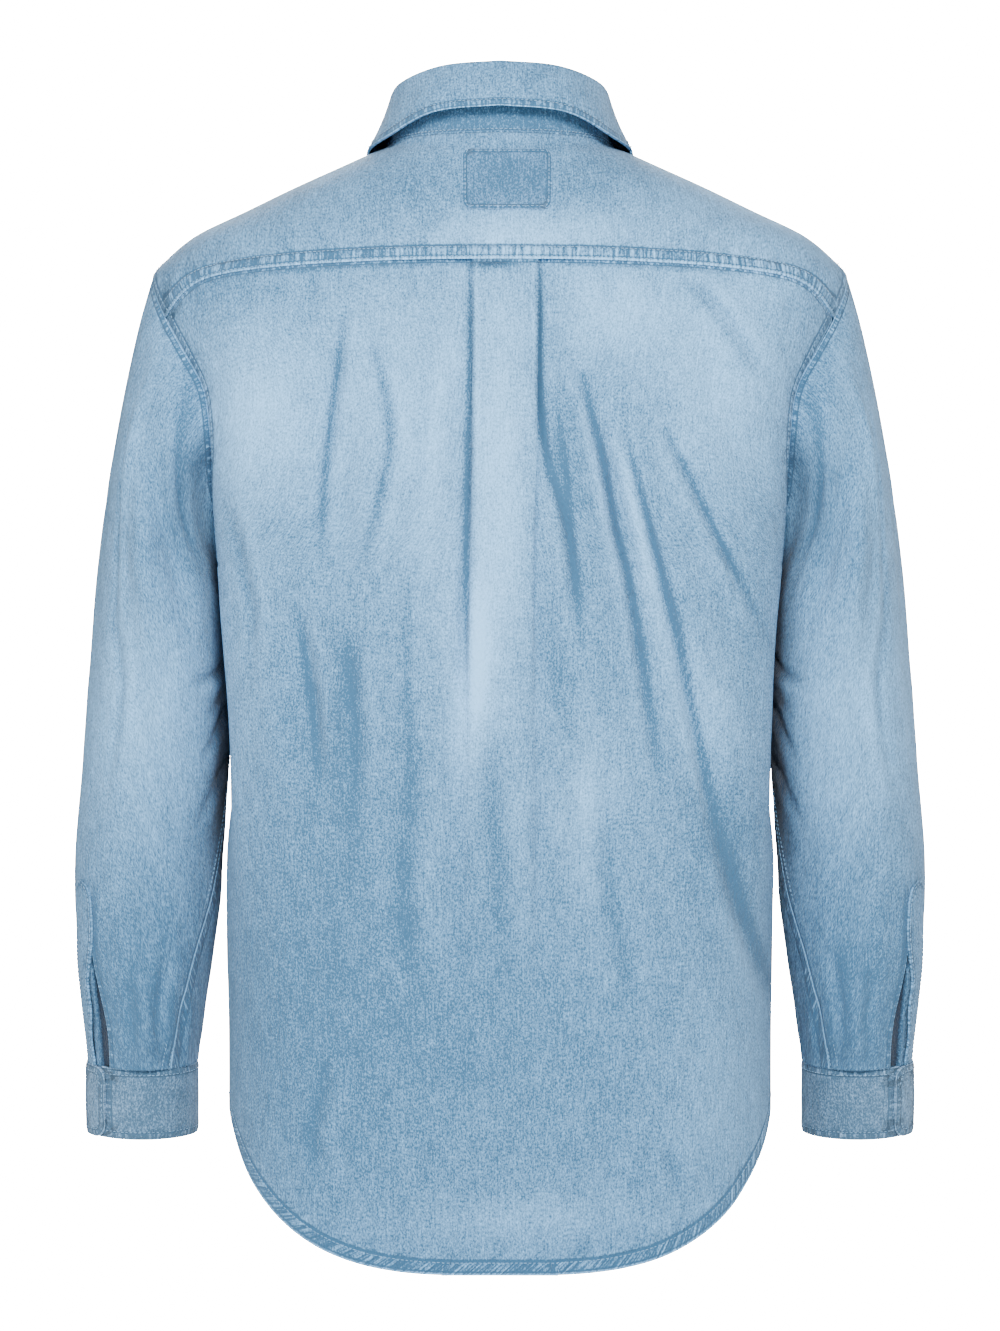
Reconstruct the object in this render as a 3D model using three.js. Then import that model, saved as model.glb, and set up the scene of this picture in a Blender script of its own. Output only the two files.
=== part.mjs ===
// Denim shirt, filled out as if worn: hollow body, yoke, collar, two sleeves, cuffs, plackets and buttons.
// Millimetres. +Z is up, the front faces -Y, the wearer's left is +X.
// The origin is the centre of the neck opening, level with the seam of collar and yoke at the back.
import * as THREE from "three";

// Driving sizes
const CLOTH = 1.2;
const FOLDED_CLOTH = 2.4;
const SEAM_GAP = 0.4;
const LAY_GAP = 0.35;
const YOKE_OVER_BACK_GAP = 0.5;
const NECK_HALF_WIDTH = 76;
const SIDE_HEM_Z = -671;
const BACK_TAIL_DROP = 113.5;
const FRONT_TAIL_DROP = 76;
const PLEAT_FADE_TOP_Z = -120;
const PLEAT_FADE_END_Z = -430;
const PLACKET_HALF_WIDTH = 16;
const PLACKET_PROUD = 1.2;
const YOKE_FRONT_TURN = 110;
const CAP_END_Z = -335;
const SLIT_TOP_Z = -549;
const SLEEVE_END_Z = -640.5;
const CUFF_TOP_Z = -641;
const CUFF_BOTTOM_Z = -690;
const CUFF_RADIUS = 38;
const CUFF_OVERLAP = 24;
const CUFF_END_TURN = 40;
const CUFF_CORNER = 10;
const BUTTON_RADIUS = 5.6;
const BUTTON_HEIGHT = 3;
const BUTTON_HEIGHTS = [-130, -220, -310, -400, -490, -580];

const DENIM = { color: 0x9fbdd3, roughness: 0.92, metalness: 0 };
const DARK_DENIM = { color: 0x86a6c2, roughness: 0.92, metalness: 0 };
const BUTTON_FINISH = { color: 0xdfe3e2, roughness: 0.35, metalness: 0 };

// Body sections: half width, how far the hanging arm presses the side in, depths behind and before, squareness
const BODY = [
  { z: 6, half: 73, press: 0, back: 64, front: 58, power: 2 },
  { z: 0, half: 74, press: 0, back: 66.5, front: 60, power: 2 },
  { z: -4.2, half: 75.6, press: 0, back: 69, front: 61, power: 2 },
  { z: -8.5, half: 76.2, press: 0, back: 71, front: 62, power: 2 },
  { z: -14, half: 90, press: 0, back: 74, front: 63.5, power: 2 },
  { z: -20.7, half: 105, press: 0, back: 77, front: 65, power: 2 },
  { z: -37, half: 141, press: 0, back: 85.5, front: 69, power: 2.05 },
  { z: -54, half: 176, press: 0, back: 93, front: 74, power: 2.1 },
  { z: -70, half: 209, press: 0, back: 99, front: 79, power: 2.2 },
  { z: -87, half: 230, press: 0, back: 105, front: 85, power: 2.3 },
  { z: -100, half: 240, press: 0, back: 109, front: 90, power: 2.4 },
  { z: -128, half: 234, press: 0, back: 117, front: 102, power: 2.6 },
  { z: -150, half: 225, press: 1, back: 122, front: 110, power: 2.8 },
  { z: -178, half: 213, press: 5, back: 127, front: 118, power: 3.1 },
  { z: -215, half: 208.5, press: 12, back: 130, front: 124, power: 3.3 },
  { z: -253, half: 206.5, press: 18, back: 131, front: 127, power: 3.4 },
  { z: -322, half: 201, press: 20, back: 131, front: 129, power: 3.4 },
  { z: -391, half: 196, press: 16, back: 130, front: 129, power: 3.3 },
  { z: -450, half: 194, press: 10, back: 129, front: 128, power: 3.1 },
  { z: -495, half: 192.5, press: 4, back: 128, front: 127, power: 2.9 },
  { z: -550, half: 188.5, press: 0, back: 127, front: 126, power: 2.8 },
  { z: -620, half: 187.5, press: 0, back: 125, front: 124, power: 2.7 },
  { z: -700, half: 187.5, press: 0, back: 122, front: 121, power: 2.7 },
  { z: -800, half: 188, press: 0, back: 119, front: 118, power: 2.7 },
];
const PRESS_FULL_Y = 36;
const PRESS_NONE_Y = 76;

// Armhole: distance behind and before the shoulder line at each height, tip first
const ARMHOLE = [
  { z: -94.5, back: 0, front: 0 },
  { z: -103, back: 14, front: -15 },
  { z: -114, back: 26, front: -28 },
  { z: -128, back: 36, front: -39 },
  { z: -146, back: 46, front: -50 },
  { z: -166, back: 54, front: -58 },
  { z: -188, back: 60, front: -64 },
  { z: -210, back: 63, front: -67 },
  { z: -232, back: 62, front: -66 },
  { z: -254, back: 56, front: -59 },
  { z: -274, back: 43, front: -45 },
  { z: -290, back: 24, front: -25 },
  { z: -300, back: 0, front: 0 },
];
const BACK_CORNER = 3;
const FRONT_CORNER = 2;

// Neck edge: turn from the centre back in degrees, and height
const NECK = [
  { turn: 0, z: 0 },
  { turn: 45, z: -2 },
  { turn: 90, z: -8.5 },
  { turn: 110, z: -15 },
  { turn: 130, z: -30 },
  { turn: 152, z: -55 },
  { turn: 180, z: -75 },
  { turn: 208, z: -55 },
];

// Seam of yoke and back: height at each distance from the middle
const YOKE_SEAM = [
  { x: 0, z: -89 },
  { x: 60, z: -89.6 },
  { x: 110, z: -91.4 },
  { x: 150, z: -94 },
  { x: 185, z: -98 },
  { x: 205, z: -103 },
  { x: 218, z: -112 },
  { x: 230, z: -128 },
];
const SEAM_STATIONS = [40, 62, 88, 114, 140, 165, 188, 205, 217];

// Box pleat, one side: distance from the middle and height over the back, folded and then opened
const PLEAT = [
  { name: "face", at: 11, up: 0.4, openAt: 10.5, openUp: 2.4 },
  { name: "face edge", at: 21.5, up: 0.4, openAt: 19.5, openUp: 2.2 },
  { name: "under edge", at: 21.5, up: -1.2, openAt: 21.2, openUp: 1.8 },
  { name: "under", at: 14, up: -1.2, openAt: 24, openUp: 0.2 },
  { name: "inner edge", at: 6.5, up: -1.2, openAt: 27, openUp: -1.6 },
  { name: "side edge", at: 6.5, up: -2.8, openAt: 28.6, openUp: -1.9 },
  { name: "side", at: 14, up: -2.8, openAt: 32, openUp: -1.5 },
  { name: "side rise", at: 24, up: -2.4, openAt: 36.5, openUp: -0.7 },
];

// Largest soft folds of the body: on which half, from where to where, half width and depth (minus is a trough)
const BODY_FOLDS = [
  { half: "back", x: 114, z: -130, toX: 112, toZ: -300, wide: 13, deep: -3.5 },
  { half: "back", x: 138, z: -330, toX: 130, toZ: -440, wide: 15, deep: -4 },
  { half: "back", x: 84, z: -160, toX: 80, toZ: -480, wide: 15, deep: 3 },
  { half: "back", x: -60, z: -180, toX: -108, toZ: -450, wide: 13, deep: -5 },
  { half: "back", x: -82, z: -232, toX: -186, toZ: -590, wide: 14, deep: -5 },
  { half: "back", x: -82, z: -190, toX: -150, toZ: -420, wide: 14, deep: 4 },
  { half: "back", x: -134, z: -140, toX: -176, toZ: -250, wide: 14, deep: -3 },
  { half: "front", x: 66, z: -170, toX: 112, toZ: -420, wide: 15, deep: -4.5 },
  { half: "front", x: 120, z: -150, toX: 160, toZ: -330, wide: 14, deep: 3.5 },
  { half: "front", x: -74, z: -190, toX: -120, toZ: -480, wide: 15, deep: -4.5 },
  { half: "front", x: -128, z: -160, toX: -158, toZ: -300, wide: 14, deep: -3 },
];

// Sleeve sections: inner and outer edge, how far forward, half depth, forward tilt
const SLEEVE = [
  { z: -335, inner: 186, outer: 281.5, y: -10, depth: 84, tilt: 0 },
  { z: -391, inner: 185, outer: 286, y: -11, depth: 76, tilt: 0.02 },
  { z: -450, inner: 188.5, outer: 290.5, y: -14, depth: 69, tilt: 0.07 },
  { z: -495, inner: 192, outer: 293.8, y: -18, depth: 63, tilt: 0.11 },
  { z: -526, inner: 193.5, outer: 294.6, y: -22, depth: 59, tilt: 0.14 },
  { z: -561, inner: 198.5, outer: 293, y: -27, depth: 56, tilt: 0.16 },
  { z: -591, inner: 202.5, outer: 290.3, y: -32, depth: 52, tilt: 0.16 },
  { z: -620, inner: 206.5, outer: 287, y: -37, depth: 47.5, tilt: 0.16 },
  { z: -641, inner: 209.5, outer: 285.5, y: -41, depth: 40.5, tilt: 0.16 },
  { z: -700, inner: 210, outer: 285, y: -50, depth: 38, tilt: 0.16 },
];
const SLEEVE_FIRST_TURN = 87;
const SLEEVE_TURN_STEP = 15;
const CAP_STEPS = [0, 0.08, 0.2, 0.34, 0.5, 0.66, 0.83];
const SLEEVE_HEIGHTS = [-335, -370, -410, -450, -490, -524, -549, -575, -600, -622, SLEEVE_END_Z];
const SLIT_COLUMN = 21;

// Largest folds of the sleeve: turn from the back in degrees, height, half width and depth
const SLEEVE_FOLDS = [
  { turn: 20, z: -205, toTurn: -28, toZ: -345, wide: 12, deep: -6 },
  { turn: 48, z: -180, toTurn: -4, toZ: -400, wide: 13, deep: 4 },
  { turn: -10, z: -360, toTurn: 35, toZ: -430, wide: 12, deep: -4 },
  { turn: 185, z: -215, toTurn: 225, toZ: -370, wide: 14, deep: -5 },
];

// Collar leaf: turn, height of the fold, turn of the outer edge, its distance out and its height over the neck edge
const LEAF = [
  { turn: 0, fold: 46.5, edgeTurn: 0, out: 12.5, up: 17 },
  { turn: 30, fold: 45.5, edgeTurn: 30, out: 13, up: 14 },
  { turn: 60, fold: 41.5, edgeTurn: 60, out: 14.5, up: 4.5 },
  { turn: 90, fold: 36.5, edgeTurn: 90, out: 16.5, up: -3.5 },
  { turn: 120, fold: 34, edgeTurn: 114, out: 20, up: -12 },
  { turn: 150, fold: 32, edgeTurn: 134, out: 24, up: -34 },
  { turn: 171, fold: 31, edgeTurn: 147, out: 28, up: -52 },
];
const LEAF_RISE = 7.5;
const STAND_CLEAR = 1.9;
const COLLAR_LEAN = 0.17;

// Patch of plain darker denim on the yoke
const PATCH = { x: -4.8, z: -12.6, halfWidth: 30.4, height: 42, corner: 5.5, cloth: 1, levelLift: 1.95 };

const degrees = (turn) => (turn * Math.PI) / 180;
const mix = (from, to, share) => from + (to - from) * share;

function smooth(from, to, value) {
  const share = Math.min(1, Math.max(0, (value - from) / (to - from)));
  return share * share * (3 - 2 * share);
}

// Smooth curve through one column of a table
function along(table, key, column) {
  const rows = [...table].sort((a, b) => a[key] - b[key]);
  const slope = (i) => {
    const before = rows[Math.max(0, i - 1)];
    const after = rows[Math.min(rows.length - 1, i + 1)];
    return (after[column] - before[column]) / (after[key] - before[key]);
  };
  return (value) => {
    let i = 0;
    while (i < rows.length - 2 && value > rows[i + 1][key]) i += 1;
    const low = rows[i];
    const high = rows[i + 1];
    const span = high[key] - low[key];
    const t = Math.min(1, Math.max(0, (value - low[key]) / span));
    const fromStart = low[column] * (1 + 2 * t) * (1 - t) ** 2 + slope(i) * span * t * (1 - t) ** 2;
    const toEnd = high[column] * t * t * (3 - 2 * t) - slope(i + 1) * span * t * t * (1 - t);
    return fromStart + toEnd;
  };
}

function columns(table, key) {
  const names = Object.keys(table[0]).filter((name) => name !== key);
  return Object.fromEntries(names.map((name) => [name, along(table, key, name)]));
}

const body = columns(BODY, "z");
const armhole = columns(ARMHOLE, "z");
const neckHeight = along(NECK, "turn", "z");
const yokeSeam = along(YOKE_SEAM, "x", "z");
const sleeve = columns(SLEEVE, "z");
const leaf = columns(LEAF, "turn");

// Point of a body section, angle from the centre back towards the wearer's left
function ringPoint(angle, z) {
  const half = body.half(z);
  const depth = Math.cos(angle) > 0 ? body.back(z) : body.front(z);
  const power = body.power(z);
  const sum = (Math.abs(Math.sin(angle)) / half) ** power + (Math.abs(Math.cos(angle)) / depth) ** power;
  const radius = sum ** (-1 / power);
  const y = radius * Math.cos(angle);
  const pressed = (body.press(z) / half) * (1 - smooth(PRESS_FULL_Y, PRESS_NONE_Y, y));
  return new THREE.Vector3(radius * Math.sin(angle) * (1 - pressed), y, z);
}

// Height of the soft folds at a place of the body
function foldHeight(folds, across, z) {
  let height = 0;
  for (const fold of folds) {
    const dx = fold.toX - fold.x;
    const dz = fold.toZ - fold.z;
    const share = ((across - fold.x) * dx + (z - fold.z) * dz) / (dx * dx + dz * dz);
    const held = Math.min(1, Math.max(0, share));
    const away = Math.hypot(across - fold.x - dx * held, z - fold.z - dz * held);
    const fade = smooth(-0.15, 0.25, share) * (1 - smooth(0.6, 1.15, share));
    height += fold.deep * fade * Math.exp(-((away / fold.wide) ** 2));
  }
  return height;
}
const backFolds = BODY_FOLDS.filter((fold) => fold.half === "back");
const frontFolds = BODY_FOLDS.filter((fold) => fold.half === "front");

// Point of the dressed body, moved out by lift
function bodyPoint(angle, z, lift) {
  const point = ringPoint(angle, z);
  const step = 0.004;
  const tangent = ringPoint(angle + step, z).sub(ringPoint(angle - step, z)).normalize();
  const folds = Math.cos(angle) > 0 ? backFolds : frontFolds;
  const clearOfSide = smooth(0, 40, Math.abs(point.y));
  const out = lift + foldHeight(folds, point.x, z) * clearOfSide;
  point.x += -tangent.y * out;
  point.y += tangent.x * out;
  return point;
}

// Angle at a share of the way round a section
const RING_STEPS = 48;
function angleAlong(z, from, to, share) {
  const lengths = [0];
  let before = ringPoint(from, z);
  for (let i = 1; i <= RING_STEPS; i += 1) {
    const here = ringPoint(mix(from, to, i / RING_STEPS), z);
    lengths.push(lengths[i - 1] + here.distanceTo(before));
    before = here;
  }
  const target = share * lengths[RING_STEPS];
  let i = 0;
  while (i < RING_STEPS - 1 && lengths[i + 1] < target) i += 1;
  const inside = (target - lengths[i]) / (lengths[i + 1] - lengths[i]);
  return mix(from, to, (i + inside) / RING_STEPS);
}

function shareAlong(z, from, to, angle) {
  let whole = 0;
  let part = 0;
  let before = ringPoint(from, z);
  for (let i = 1; i <= RING_STEPS; i += 1) {
    const turned = mix(from, to, i / RING_STEPS);
    const here = ringPoint(turned, z);
    const length = here.distanceTo(before);
    whole += length;
    part += length * Math.min(1, Math.max(0, (angle - turned) / ((to - from) / RING_STEPS) + 1));
    before = here;
  }
  return part / whole;
}

// Angle of the point of a section that lies at a distance from the middle, on the back or the front
function angleAtX(x, z, onBack) {
  let low = onBack ? 0 : Math.PI / 2;
  let high = onBack ? Math.PI / 2 : Math.PI;
  const wanted = Math.abs(x);
  for (let i = 0; i < 40; i += 1) {
    const middle = (low + high) / 2;
    const tooFar = ringPoint(middle, z).x > wanted;
    if (tooFar === onBack) high = middle;
    else low = middle;
  }
  const angle = (low + high) / 2;
  return x >= 0 ? angle : onBack ? -angle : 2 * Math.PI - angle;
}

// Angle of the armhole edge or, below it, of the side seam
function edgeAngle(z, onBack) {
  const tip = ARMHOLE[0].z;
  const bottom = ARMHOLE[ARMHOLE.length - 1].z;
  if (z >= tip || z <= bottom) return Math.PI / 2;
  const y = onBack ? armhole.back(z) : armhole.front(z);
  let low = onBack ? 0.2 : Math.PI / 2;
  let high = onBack ? Math.PI / 2 : Math.PI - 0.2;
  for (let i = 0; i < 40; i += 1) {
    const middle = (low + high) / 2;
    if (ringPoint(middle, z).y > y) low = middle;
    else high = middle;
  }
  return (low + high) / 2;
}

function neckPlace(turn) {
  const z = neckHeight(turn);
  const x = NECK_HALF_WIDTH * Math.sin(degrees(turn));
  return { angle: angleAtX(x, z, turn <= 90), z };
}

function neckTurnAtX(x) {
  return 180 - (Math.asin(x / NECK_HALF_WIDTH) * 180) / Math.PI;
}

// Drop of the shirt tail below the side hem, at a share of the half width
function tailDrop(share, drop) {
  const across = Math.min(1, Math.abs(share));
  return drop * (1 - across ** 3.1) ** 0.62;
}

// Directions in which a wall gets its thickness, kept square at sharp folds
function outwardOf(grid, wrapped) {
  const rows = grid.length;
  const count = grid[0].length;
  return grid.map((row, j) => row.map((point, i) => {
    const down = grid[Math.min(rows - 1, j + 1)][i].clone().sub(grid[Math.max(0, j - 1)][i]);
    const next = wrapped ? (i + 1) % count : Math.min(count - 1, i + 1);
    const last = wrapped ? (i + count - 1) % count : Math.max(0, i - 1);
    const ahead = row[next].clone().sub(point).cross(down).normalize();
    const behind = point.clone().sub(row[last]).cross(down).normalize();
    if (ahead.lengthSq() < 0.5) return behind;
    if (behind.lengthSq() < 0.5) return ahead;
    return ahead.clone().add(behind).divideScalar(Math.max(0.35, 1 + ahead.dot(behind)));
  }));
}

// Moves the border of a grid in along the cloth, to leave half a seam gap
function trimmed(grid, sides, amount = SEAM_GAP / 2) {
  const rows = grid.length;
  const count = grid[0].length;
  const out = grid.map((row) => row.map((point) => point.clone()));
  const pull = (j, i, toJ, toI) => {
    const way = grid[toJ][toI].clone().sub(grid[j][i]).normalize();
    out[j][i].addScaledVector(way, amount);
  };
  for (let i = 0; i < count; i += 1) {
    if (sides.includes("top")) pull(0, i, 1, i);
    if (sides.includes("bottom")) pull(rows - 1, i, rows - 2, i);
  }
  for (let j = 0; j < rows; j += 1) {
    if (sides.includes("first")) pull(j, 0, j, 1);
    if (sides.includes("last")) pull(j, count - 1, j, count - 2);
  }
  return out;
}

// Closed wall between a grid of points and the same grid moved in; inset is the share of the wall outside the grid
function wall(grid, { thick = CLOTH, wrapped = false, outside = 0, outward = null, keep = () => true } = {}) {
  const rows = grid.length;
  const count = grid[0].length;
  const ways = outward ?? outwardOf(grid, wrapped);
  const positions = [];
  for (const depth of [outside, outside - 1]) {
    grid.forEach((row, j) => row.forEach((point, i) => {
      positions.push(...point.clone().addScaledVector(ways[j][i], thick * depth).toArray());
    }));
  }
  const cells = wrapped ? count : count - 1;
  const inner = rows * count;
  const at = (j, i) => j * count + (i % count);
  const isKept = (j, i) => {
    if (j < 0 || j >= rows - 1) return false;
    if (!wrapped && (i < 0 || i >= cells)) return false;
    return keep(j, (i + cells) % cells);
  };
  const faces = [];
  const side = (a, b) => faces.push(b, a, a + inner, b, a + inner, b + inner);
  for (let j = 0; j < rows - 1; j += 1) {
    for (let i = 0; i < cells; i += 1) {
      if (!isKept(j, i)) continue;
      const [a, b, c, d] = [at(j, i), at(j, i + 1), at(j + 1, i + 1), at(j + 1, i)];
      faces.push(a, b, c, a, c, d);
      faces.push(a + inner, c + inner, b + inner, a + inner, d + inner, c + inner);
      if (!isKept(j - 1, i)) side(a, b);
      if (!isKept(j, i + 1)) side(b, c);
      if (!isKept(j + 1, i)) side(c, d);
      if (!isKept(j, i - 1)) side(d, a);
    }
  }
  const used = [...new Set(faces)].sort((a, b) => a - b);
  const renumbered = new Map(used.map((old, index) => [old, index]));
  const geometry = new THREE.BufferGeometry();
  const kept = used.flatMap((old) => positions.slice(old * 3, old * 3 + 3));
  geometry.setAttribute("position", new THREE.Float32BufferAttribute(kept, 3));
  geometry.setIndex(faces.map((old) => renumbered.get(old)));
  geometry.computeVertexNormals();
  return geometry;
}

// The same piece for the other side of the body
function mirrored(geometry) {
  const copy = geometry.clone();
  const place = copy.getAttribute("position");
  for (let i = 0; i < place.count; i += 1) place.setX(i, -place.getX(i));
  const index = Array.from(copy.getIndex().array);
  for (let i = 0; i < index.length; i += 3) [index[i + 1], index[i + 2]] = [index[i + 2], index[i + 1]];
  copy.setIndex(index);
  copy.computeVertexNormals();
  return copy;
}

function outerPlace(z, onBack) {
  return { angle: edgeAngle(z, onBack), z };
}

// Yoke: fans out from the neck edge to the back seam, the armholes and the front seams
const YOKE_SHARES = [0, 0.15, 0.35, 0.55, 0.72, 0.84, 0.93, 1];
function yokeColumns() {
  const list = [0, 12, 24, ...SEAM_STATIONS].map((x) => {
    const z = yokeSeam(x);
    return { neckTurn: (72 * x) / 230, outer: { angle: angleAtX(x, z, true), z } };
  });
  const armholeTurns = [72, 79, 87, 95, 103, YOKE_FRONT_TURN];
  const heights = [BACK_CORNER, 2, 1, 0].map((row) => outerPlace(ARMHOLE[row].z, true));
  heights.push(...[1, FRONT_CORNER].map((row) => outerPlace(ARMHOLE[row].z, false)));
  armholeTurns.forEach((neckTurn, i) => list.push({ neckTurn, outer: heights[i] }));
  return list;
}

function yokePlace(column, share) {
  const inner = neckPlace(column.neckTurn);
  return { angle: mix(inner.angle, column.outer.angle, share), z: mix(inner.z, column.outer.z, share) };
}

function yokeGrid() {
  const half = yokeColumns();
  const sides = [...half.slice(1).reverse().map((column) => [column, -1]), ...half.map((column) => [column, 1])];
  return YOKE_SHARES.map((share) => sides.map(([column, side]) => {
    const place = yokePlace(column, share);
    return bodyPoint(side * place.angle, place.z, 0);
  }));
}

// Shares down a panel whose edge follows the armhole's own points and then the side seam
function rowShares(firstRow, lowerSteps) {
  const top = ARMHOLE[firstRow].z;
  const whole = SIDE_HEM_Z - top;
  const shares = ARMHOLE.slice(firstRow).map((row) => (row.z - top) / whole);
  const start = shares[shares.length - 1];
  for (let i = 1; i <= lowerSteps; i += 1) shares.push(mix(start, 1, i / lowerSteps));
  return shares;
}

const LOWER_STEPS = 8;
const HEM_RING_Z = -720;
function hemHeight(angle, drop) {
  const across = ringPoint(angle, HEM_RING_Z).x / body.half(HEM_RING_Z);
  return SIDE_HEM_Z - tailDrop(across, drop);
}

// Back: stations out to each side, the inner ones folded as the box pleat
function backGrid() {
  const stations = [...SEAM_STATIONS, null];
  const places = stations.map((x) => {
    const z = x === null ? ARMHOLE[BACK_CORNER].z : yokeSeam(x);
    const angle = x === null ? edgeAngle(z, true) : angleAtX(x, z, true);
    const share = x === null ? 1 : shareAlong(z, 0, edgeAngle(z, true), angle);
    return { z, share, hem: hemHeight(angleAlong(HEM_RING_Z, 0, Math.PI / 2, share), BACK_TAIL_DROP) };
  });
  return rowShares(BACK_CORNER, LOWER_STEPS).map((share) => {
    const middleZ = mix(yokeSeam(0), SIDE_HEM_Z - BACK_TAIL_DROP, share);
    const opened = smooth(PLEAT_FADE_TOP_Z, PLEAT_FADE_END_Z, middleZ);
    const sideOf = (side) => {
      const pleat = PLEAT.map((fold) => {
        const distance = mix(fold.at, fold.openAt, opened);
        const fall = 1 - smooth(-500, -640, middleZ);
        const up = mix(fold.up, fold.openUp * fall, opened);
        const z = middleZ + (1 - share) * (yokeSeam(distance) - yokeSeam(0));
        return bodyPoint(side * angleAtX(distance, z, true), z, up - CLOTH / 2);
      });
      const rest = places.map((place) => {
        const z = mix(place.z, place.hem, share);
        const eased = place.share < 0.2 ? mix(-1.1, 0, opened) : 0;
        return bodyPoint(side * angleAlong(z, 0, edgeAngle(z, true), place.share), z, eased - CLOTH / 2);
      });
      return [...pleat, ...rest];
    };
    const middleUp = mix(PLEAT[0].up, 2.6 * (1 - smooth(-500, -640, middleZ)), opened);
    return [...sideOf(-1).reverse(), bodyPoint(0, middleZ, middleUp - CLOTH / 2), ...sideOf(1)];
  });
}

// Front: from the armhole and side seam to its edge at endX; a recess makes room for the other front's band
function frontGrid(endX, neckStops, recess, side) {
  const seamColumn = yokeColumns().at(-1);
  const tops = [...YOKE_SHARES].reverse().map((share) => yokePlace(seamColumn, share));
  neckStops.forEach((x) => tops.push({ ...neckPlace(neckTurnAtX(x)), x }));
  const endAngle = (z) => angleAtX(endX, z, false);
  const settledZ = -400;
  const places = tops.map((top, i) => {
    const x = top.x ?? ringPoint(top.angle, top.z).x;
    const settled = top.x === undefined
      ? (0.72 * i) / YOKE_SHARES.length
      : shareAlong(settledZ, Math.PI / 2, endAngle(settledZ), angleAtX(x, settledZ, false));
    const hem = hemHeight(angleAlong(HEM_RING_Z, Math.PI / 2, endAngle(HEM_RING_Z), settled), FRONT_TAIL_DROP);
    return { x, z: top.z, settled, hem };
  });
  return rowShares(FRONT_CORNER, LOWER_STEPS).map((share) => places.map((place, i) => {
    const z = mix(place.z, place.hem, share);
    const edge = edgeAngle(z, false);
    const end = endAngle(z);
    const clearOfEdge = angleAlong(z, edge, end, 0.5 * place.settled);
    const straight = i === 0 ? edge : Math.max(angleAtX(place.x, z, false), share === 0 ? 0 : clearOfEdge);
    const angle = mix(straight, angleAlong(z, edge, end, place.settled), smooth(0, 0.35, share));
    const x = ringPoint(angle, z).x;
    const sunk = recess * (1 - smooth(PLACKET_HALF_WIDTH + 1.4, PLACKET_HALF_WIDTH + 12, x));
    return bodyPoint(side * angle, z, -sunk);
  }));
}

// Front placket: a folded band on the edge of the left front, from the neck to the hem
function bandGrid() {
  const across = [PLACKET_HALF_WIDTH, 6, -6, -PLACKET_HALF_WIDTH];
  return rowShares(FRONT_CORNER, LOWER_STEPS).map((share) => across.map((x) => {
    const hem = SIDE_HEM_Z - tailDrop(x / body.half(HEM_RING_Z), FRONT_TAIL_DROP);
    const z = mix(neckHeight(neckTurnAtX(x)), hem, share);
    return bodyPoint(angleAtX(x, z, false), z, PLACKET_PROUD);
  }));
}

// Points of the armhole, from the shoulder tip down the front and up the back
function armholeLoop() {
  const front = ARMHOLE.map((row) => outerPlace(row.z, false));
  const back = ARMHOLE.slice(1, -1).reverse().map((row) => outerPlace(row.z, true));
  return [...front, ...back].map((place) => bodyPoint(place.angle, place.z, 0));
}

function sleevePoint(turn, z, lift) {
  const angle = degrees(turn);
  const inner = sleeve.inner(z);
  const half = (sleeve.outer(z) - inner) / 2;
  const depth = sleeve.depth(z);
  const out = lift + sleeveFold(turn, z, (half + depth) / 2);
  const forward = Math.cos(angle) * (depth + out);
  const x = inner + half + Math.sin(angle) * (half + out);
  return new THREE.Vector3(x, sleeve.y(z) + forward, z - sleeve.tilt(z) * forward);
}

function sleeveFold(turn, z, radius) {
  const wrappedTurn = turn > 270 ? turn - 360 : turn;
  const scaled = SLEEVE_FOLDS.map((fold) => ({
    ...fold,
    x: degrees(fold.turn) * radius,
    toX: degrees(fold.toTurn) * radius,
  }));
  return foldHeight(scaled, degrees(wrappedTurn) * radius, z);
}

// Sleeve: a cap that turns from the armhole to a level section, then the sections down to the cuff
function sleeveGrid() {
  const loop = armholeLoop();
  const turns = loop.map((_, i) => SLEEVE_FIRST_TURN + SLEEVE_TURN_STEP * i);
  const cap = CAP_STEPS.map((t) => loop.map((start, i) => {
    const end = sleevePoint(turns[i], CAP_END_Z, 0);
    const below = sleevePoint(turns[i], CAP_END_Z - 20, 0);
    const reach = start.distanceTo(end);
    const low = smooth(0, 0.45, (ARMHOLE[0].z - start.z) / (ARMHOLE[0].z - ARMHOLE.at(-1).z));
    const aim = new THREE.Vector3(mix(0.3, 0.8, low), 0.3 * Math.sign(start.y) * low, mix(-0.95, -0.55, low));
    const leave = aim.normalize().multiplyScalar(reach);
    const arrive = below.sub(end).normalize().multiplyScalar(reach * 0.9);
    const point = start.clone().multiplyScalar((1 + 2 * t) * (1 - t) ** 2);
    point.addScaledVector(leave, t * (1 - t) ** 2);
    point.addScaledVector(end, t * t * (3 - 2 * t));
    point.addScaledVector(arrive, -t * t * (1 - t));
    const turn = turns[i] > 270 ? turns[i] - 360 : turns[i];
    const away = new THREE.Vector3(Math.sin(degrees(turn)), Math.cos(degrees(turn)), 0);
    const fold = sleeveFold(turns[i], point.z, 66) * smooth(0, 0.3, t) * (1 - smooth(0.75, 1, t));
    return point.addScaledVector(away, fold);
  }));
  const lower = SLEEVE_HEIGHTS.map((z) => turns.map((turn) => sleevePoint(turn, z, 0)));
  return [...cap, ...lower];
}

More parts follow.
